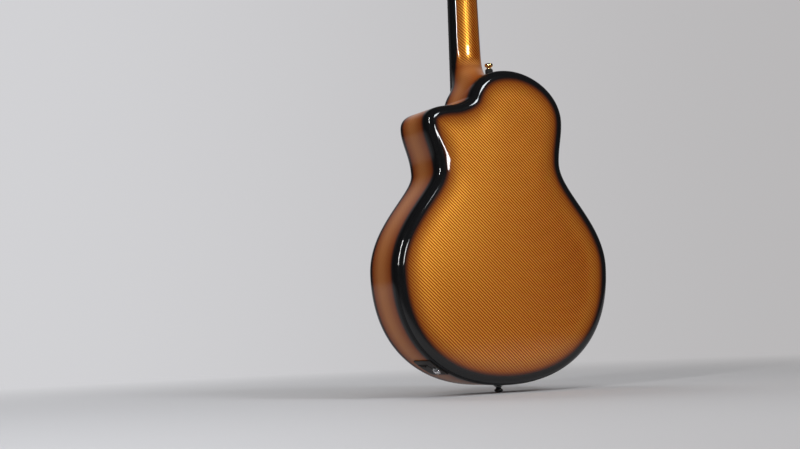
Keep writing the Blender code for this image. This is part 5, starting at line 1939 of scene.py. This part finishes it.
@dataclass
class Strings:
    """Six strings from their balls over the saddle and the nut to their turns on the posts."""

    finishes: dict[str, bpy.types.Material]
    neck: Neck
    diameters: tuple[float, ...] = (0.00135, 0.00107, 0.00081, 0.00061, 0.00041, 0.00030)
    scale_length: float = 0.648
    saddle: float = 0.201349
    nut_spread: float = 0.0366
    saddle_spread: float = 0.054
    octave: float = 0.0022
    first_fret: float = 0.0004
    board: float = 0.006
    fret: float = 0.0012
    ball_place: tuple[float, float] = (-0.0046, 0.187349 + 0.0011)
    ball_profile: tuple[tuple[float, float], ...] = (
        (0.0, 0.0014), (0.0002, 0.0017), (0.0005, 0.0019), (0.0027, 0.0019), (0.0030, 0.0017),
        (0.0032, 0.0014))
    neck_of_ball: tuple[float, float] = (0.0035, 0.0040)
    saddle_back: float = 0.0015
    bend: float = 0.0006
    first_turn: float = -0.0108
    turn_gap: float = 0.0009
    turns: float = 2.25
    per_turn: int = 24
    around: int = 12

    def build(self) -> None:
        """Model every string and dress it: four wound, two plain."""
        for number, diameter in enumerate(self.diameters, 1):
            wound = number <= 4
            finish = self.finishes["bronze winding" if wound else "plain steel wire"]
            tube = self.tube(f"wire_{number}", self.route(number, diameter / 2))
            placed(dressed(tube, finish), stands_for=(f"string_{number}",))

    def across(self, number: int, z: float) -> float:
        """Sideways place of a string at a height.

        Args:
            number: The string, from the lowest.
            z: The height.

        Returns:
            The x of its middle line.
        """
        share = (z - self.saddle) / self.scale_length
        spread = self.saddle_spread + (self.nut_spread - self.saddle_spread) * share
        return ((number - 1) / 5 - 0.5) * spread

    def underside(self, z: float) -> float:
        """Distance of the strings' undersides from the soundboard's plane at a height."""
        rise = (self.octave - self.first_fret) / (self.scale_length / 2)
        return GAP + self.board + self.fret + self.first_fret + rise * (self.neck.nut - z)

    def route(self, number: int, radius: float) -> list[tuple[np.ndarray, float]]:
        """Points of one string with its radius at each.

        Args:
            number: The string, from the lowest.
            radius: The string's radius.

        Returns:
            Points and radii from the ball to the end beside the post.
        """
        x = self.across(number, self.saddle)
        ball, along = np.array([x, *self.ball_place]), np.array([0.0, 0.0, 1.0])
        stem, bent = self.neck_of_ball
        route = [(ball + along * way, size) for way, size in (*self.ball_profile, (stem, radius))]
        over = np.array([x, -(self.underside(self.saddle) + radius), self.saddle - self.saddle_back])
        past = self.neck.nut + self.neck.nut_length + GAP
        leave = np.array([self.across(number, past), -(self.underside(past) + radius), past])
        turns = self.wrapped(number, leave, radius)
        corners = [ball + along * bent, over, leave]
        ends = [route[-1][0], *corners, turns[0]]
        for before, corner, after in zip(ends, corners, ends[2:]):
            reach = min(self.bend, np.linalg.norm(before - corner) * 0.5)
            near, far = corner + unit(before - corner) * reach, corner + unit(after - corner) * reach
            for t in (0.0, 0.25, 0.5, 0.75, 1.0):
                route.append(((1 - t) ** 2 * near + 2 * t * (1 - t) * corner + t * t * far, radius))
        return route + [(point, radius) for point in turns]

    def wrapped(self, number: int, leave: np.ndarray, radius: float) -> list[np.ndarray]:
        """Points of the turns round the post, from the point where the string meets it.

        Args:
            number: The string, from the lowest.
            leave: Where the string leaves the nut.
            radius: The string's radius.

        Returns:
            The points.
        """
        head = self.neck.head_frame()
        _, place, side = tuner_places()[number - 1]
        post, way = place.translation, side.value
        local = head.inverted() @ Vector(leave)
        wrap = Tuners.waist_radius + GAP + radius
        mirrored = Vector((-way * (local.x - post.x), local.z - post.z))
        bearing = math.atan2(mirrored.y, mirrored.x) + math.acos(wrap / mirrored.length)
        pitch = 2 * radius + self.turn_gap
        points = []
        for step in range(round(self.turns * self.per_turn) + 1):
            turn = step / self.per_turn
            angle = bearing + math.tau * turn
            flat = Vector((post.x - way * wrap * math.cos(angle), self.first_turn + pitch * turn,
                           post.z + wrap * math.sin(angle)))
            points.append(np.array(head @ flat))
        return [*points, points[-1] + unit(points[-1] - points[-2]) * 2 * radius]

    def tube(self, name: str, route: Sequence[tuple[np.ndarray, float]]) -> bpy.types.Object:
        """Closed tube along a route, its pattern running along it and round it.

        Args:
            name: The tube's name.
            route: Points with the radius at each.

        Returns:
            The tube.
        """
        points = np.array([point for point, _ in route])
        radii = [size for _, size in route]
        steps = np.gradient(points, axis=0)
        steps /= np.linalg.norm(steps, axis=1, keepdims=True)
        side = np.array([1.0, 0.0, 0.0])
        rows = [np.repeat(points[:1], self.around, axis=0)]
        for point, step, size in zip(points, steps, radii):
            side = side - step * (side @ step)
            side /= np.linalg.norm(side)
            other = np.cross(step, side)
            angles = np.arange(self.around) * math.tau / self.around
            rows.append(point + size * (np.cos(angles)[:, None] * side + np.sin(angles)[:, None] * other))
        rows.append(np.repeat(points[-1:], self.around, axis=0))
        travel = np.concatenate([[0.0], travelled(points)])
        travel = np.append(travel, travel[-1])
        turn = np.linspace(0.0, 1.0, self.around + 1)
        uv = np.stack(np.broadcast_arrays(travel[:, None], turn), axis=2)
        return smooth(skin(name, np.array(rows), uv), 60.0)


@dataclass
class Fretwork:
    """Solids of the front that keep their shape and get their finish, and the dots let into the board."""

    finishes: dict[str, bpy.types.Material]
    scale_length: float = 0.648
    nut: float = 0.849349
    dots: tuple[tuple[int, tuple[float, ...]], ...] = (
        (3, (0.0,)), (5, (0.0,)), (7, (0.0,)), (9, (0.0,)), (12, (-0.009, 0.009)), (15, (0.0,)), (17, (0.0,)))
    dot_radius: float = 0.003
    dot_rise: float = 0.00003
    face: float = -0.0063

    def build(self) -> None:
        """Dress the board, frets, nut, bridge, saddle and pickup, and add the dots."""
        for node, finish in (("fretboard", "black board"), ("bridge", "black board"), ("nut", "bone"),
                             ("saddle", "bone"), ("under_saddle_pickup", "pickup foil")):
            carry(node, self.finishes[finish])
        for number in range(1, 21):
            carry(f"fret_{number:02d}", self.finishes["polished nickel"])
        placed(dressed(self.inlay(), self.finishes["pearl"]))

    def fret(self, number: int) -> float:
        """Height of a fret."""
        return self.nut - self.scale_length * (1.0 - 2.0 ** (-number / 12))

    def inlay(self) -> bpy.types.Object:
        """The dots, as one piece.

        Returns:
            The dots.
        """
        discs = []
        for number, places in self.dots:
            z = (self.fret(number) + self.fret(number - 1)) / 2
            discs += [rod("dot", (x, self.face + 0.001, z), (x, self.face - self.dot_rise, z),
                          self.dot_radius) for x in places]
        return smooth(joined("board_dots", discs), 30.0)


# ---------------------------------------------------------------- studio


@dataclass
class Lamp:
    """One soft lamp that faces the guitar."""

    name: str
    place: tuple[float, float, float]
    size: tuple[float, float]
    power: float
    colour: Colour = (1.0, 1.0, 1.0)
    mirrored: bool = True
    aim: tuple[float, float, float] = (0.0, 0.05, 0.35)

    def light(self) -> None:
        """Add the lamp."""
        lay_down()
        bpy.ops.object.light_add(type="AREA", location=self.place)
        lamp = bpy.context.object
        lamp.name = self.name
        lamp.data.shape = "RECTANGLE"
        lamp.data.size, lamp.data.size_y = self.size
        lamp.data.energy = self.power
        lamp.data.color = self.colour
        lamp.rotation_euler = (Vector(self.aim) - Vector(self.place)).to_track_quat("-Z", "Y").to_euler()
        lamp.visible_camera = False
        lamp.visible_glossy = self.mirrored


@dataclass
class Studio:
    """Plain pale floor, soft light and the camera.

    The camera's numbers come from fitting the body's outline to the photograph.
    """

    floor_height: float = -0.0121
    floor_radius: float = 40.0
    floor_fade: tuple[float, float] = (0.35, 2.2)
    floor_black: float = 0.12
    # Painted shade on the camera's side of the floor, seen only by reflections and bounced light.
    floor_reflected_shade: Colour = (0.05, 0.05, 0.05)
    surroundings: float = 0.30
    view: tuple[float, float, float] = (-0.447, -0.894, 0.0)
    across_view: tuple[float, float, float] = (0.892, -0.452, 0.0)
    # The backdrop's two tones, darker on the camera's right and paler on its left: a painted light falloff.
    pale: tuple[Colour, Colour] = ((0.485, 0.475, 0.48), (0.645, 0.645, 0.665))
    behind: Colour = (0.022, 0.023, 0.025)
    camera_place: tuple[float, float, float] = (1.13999671751, 2.01872990972, 0.07744410439)
    azimuth: float = 153.44472915601614
    elevation: float = -4.523256482887723
    roll: float = -2.4458152952470313
    focal_pixels: float = 1447.3588334593146
    picture_width: int = 800
    sensor: float = 36.0

    def build(self) -> None:
        """Make the floor, the world, the lamps and the camera."""
        self.floor()
        self.world()
        for lamp in self.lamps():
            lamp.light()
        self.camera()
        bpy.context.scene.view_settings.view_transform = "Standard"

    def lamps(self) -> tuple[Lamp, ...]:
        """The lamps: two windows and a strip on the camera's side, and two fills that leave no reflection.

        Returns:
            The lamps.
        """
        return (
            Lamp("skylight", (-0.55, 2.80, 1.80), (0.80, 0.80), 42.0, colour=(0.90, 0.95, 1.0)),
            Lamp("window", (-0.45, 3.00, 0.58), (0.24, 0.30), 6.0),
            Lamp("strip", (2.40, 1.60, 1.30), (0.07, 1.30), 34.0),
            Lamp("overhead", (0.0, 1.2, 3.0), (1.6, 1.6), 22.0, mirrored=False),
            Lamp("high_front", (0.3, -1.7, 2.7), (1.2, 1.2), 24.0, mirrored=False),
        )

    def backdrop(self, g: Graph, direction: Value) -> Value:
        """Pale colour seen in a direction, brighter on the camera's left as a painted light falloff;
        reflections find it dark behind.

        Args:
            g: The graph to build in.
            direction: The direction.

        Returns:
            The colour.
        """
        # Painted light falloff across the backdrop, which the floor takes on too.
        painted_falloff = g.mix(g.step(g.vector("DOT_PRODUCT", direction, self.across_view), -0.32, 0.32), *self.pale)
        ahead = g.step(g.vector("DOT_PRODUCT", direction, self.view), 0.60, 0.945)
        seen = g.add("ShaderNodeLightPath").outputs["Is Camera Ray"]
        return g.mix(g.math("MAXIMUM", ahead, seen), self.behind, painted_falloff)

    def floor(self) -> None:
        """Pale floor that keeps the object's shadow and fades into the background. On the camera's side it
        carries a painted shade that only reflections and bounced light see.
        """
        lay_down()
        bpy.ops.mesh.primitive_circle_add(vertices=96, radius=self.floor_radius, fill_type="NGON",
                                          location=(0.0, 0.0, self.floor_height))
        floor = named("floor")
        material, g, surface = blank("pale floor")
        place = g.add("ShaderNodeNewGeometry").outputs["Position"]
        pale = self.backdrop(g, g.vector("NORMALIZE", g.vector("SUBTRACT", place, self.camera_place)))
        # Painted shade: from 0.2 m towards the camera the floor turns dark for every ray but the camera's.
        near = g.step(g.vector("DOT_PRODUCT", place, tuple(-part for part in self.view)), 0.2, 0.8)
        seen = g.add("ShaderNodeLightPath").outputs["Is Camera Ray"]
        paper = g.mix(g.product(near, g.math("SUBTRACT", 1.0, seen)), pale, self.floor_reflected_shade)
        g.feed(surface, {"Base Color": g.mix(self.floor_black, paper, (0.0, 0.0, 0.0)), "Roughness": 0.75,
                         "Specular IOR Level": 0.2})
        far = g.add("ShaderNodeEmission", {"Color": paper})
        share = g.step(g.vector("LENGTH", place), *self.floor_fade)
        blend = g.add("ShaderNodeMixShader", {0: share, 1: surface.outputs[0], 2: far.outputs[0]})
        g.feed(material.node_tree.nodes["Material Output"], {"Surface": blend.outputs[0]})
        dressed(floor, material)

    def world(self) -> None:
        """Soft surroundings, and the pale background that the camera, reflections and clear pieces see."""
        world = bpy.data.worlds.new("studio")
        world.use_nodes = True
        bpy.context.scene.world = world
        g = Graph(world.node_tree)
        light = world.node_tree.nodes["Background"]
        g.feed(light, {"Color": (1.0, 1.0, 1.0), "Strength": self.surroundings})
        direction = g.add("ShaderNodeTexCoord").outputs["Generated"]
        seen = g.add("ShaderNodeBackground", {"Color": self.backdrop(g, direction)})
        path = g.add("ShaderNodeLightPath").outputs
        rays = g.math("ADD", path["Is Camera Ray"], path["Is Glossy Ray"], clamp=True)
        rays = g.math("ADD", rays, path["Is Transmission Ray"], clamp=True)
        blend = g.add("ShaderNodeMixShader", {0: rays, 1: light.outputs[0], 2: seen.outputs[0]})
        g.feed(world.node_tree.nodes["World Output"], {"Surface": blend.outputs[0]})

    def camera(self) -> None:
        """Camera at the photograph's place, angle and field of view."""
        lay_down()
        bpy.ops.object.camera_add(location=self.camera_place)
        camera = bpy.context.object
        a, e, r = (math.radians(v) for v in (self.azimuth, self.elevation, self.roll))
        back = Vector((math.sin(a) * math.cos(e), -math.cos(a) * math.cos(e), math.sin(e)))
        level = Vector((0.0, 0.0, 1.0)).cross(back).normalized()
        rise = back.cross(level)
        right = level * math.cos(r) + rise * math.sin(r)
        up = rise * math.cos(r) - level * math.sin(r)
        camera.rotation_euler = Matrix((right, up, back)).transposed().to_euler()
        camera.data.sensor_width = self.sensor
        camera.data.lens = self.focal_pixels * self.sensor / self.picture_width
        camera.data.clip_end = 200.0
        bpy.context.scene.camera = camera


def main() -> None:
    """Build the studio and the guitar."""
    logging.basicConfig(level=logging.INFO, format="%(message)s")
    effects = Effects()
    finishes = {finish.name: finish.material(effects) for finish in FINISHES}
    Studio().build()
    outline = Outline()
    body = Body(outline)
    neck = Neck(body)
    Shell(finishes, body, neck).build()
    StrapFittings(finishes).build()
    OutputPlate(finishes, outline).build()
    Tuners(finishes, neck).build()
    Strings(finishes, neck).build()
    Fretwork(finishes).build()


if __name__ == "__main__":
    main()
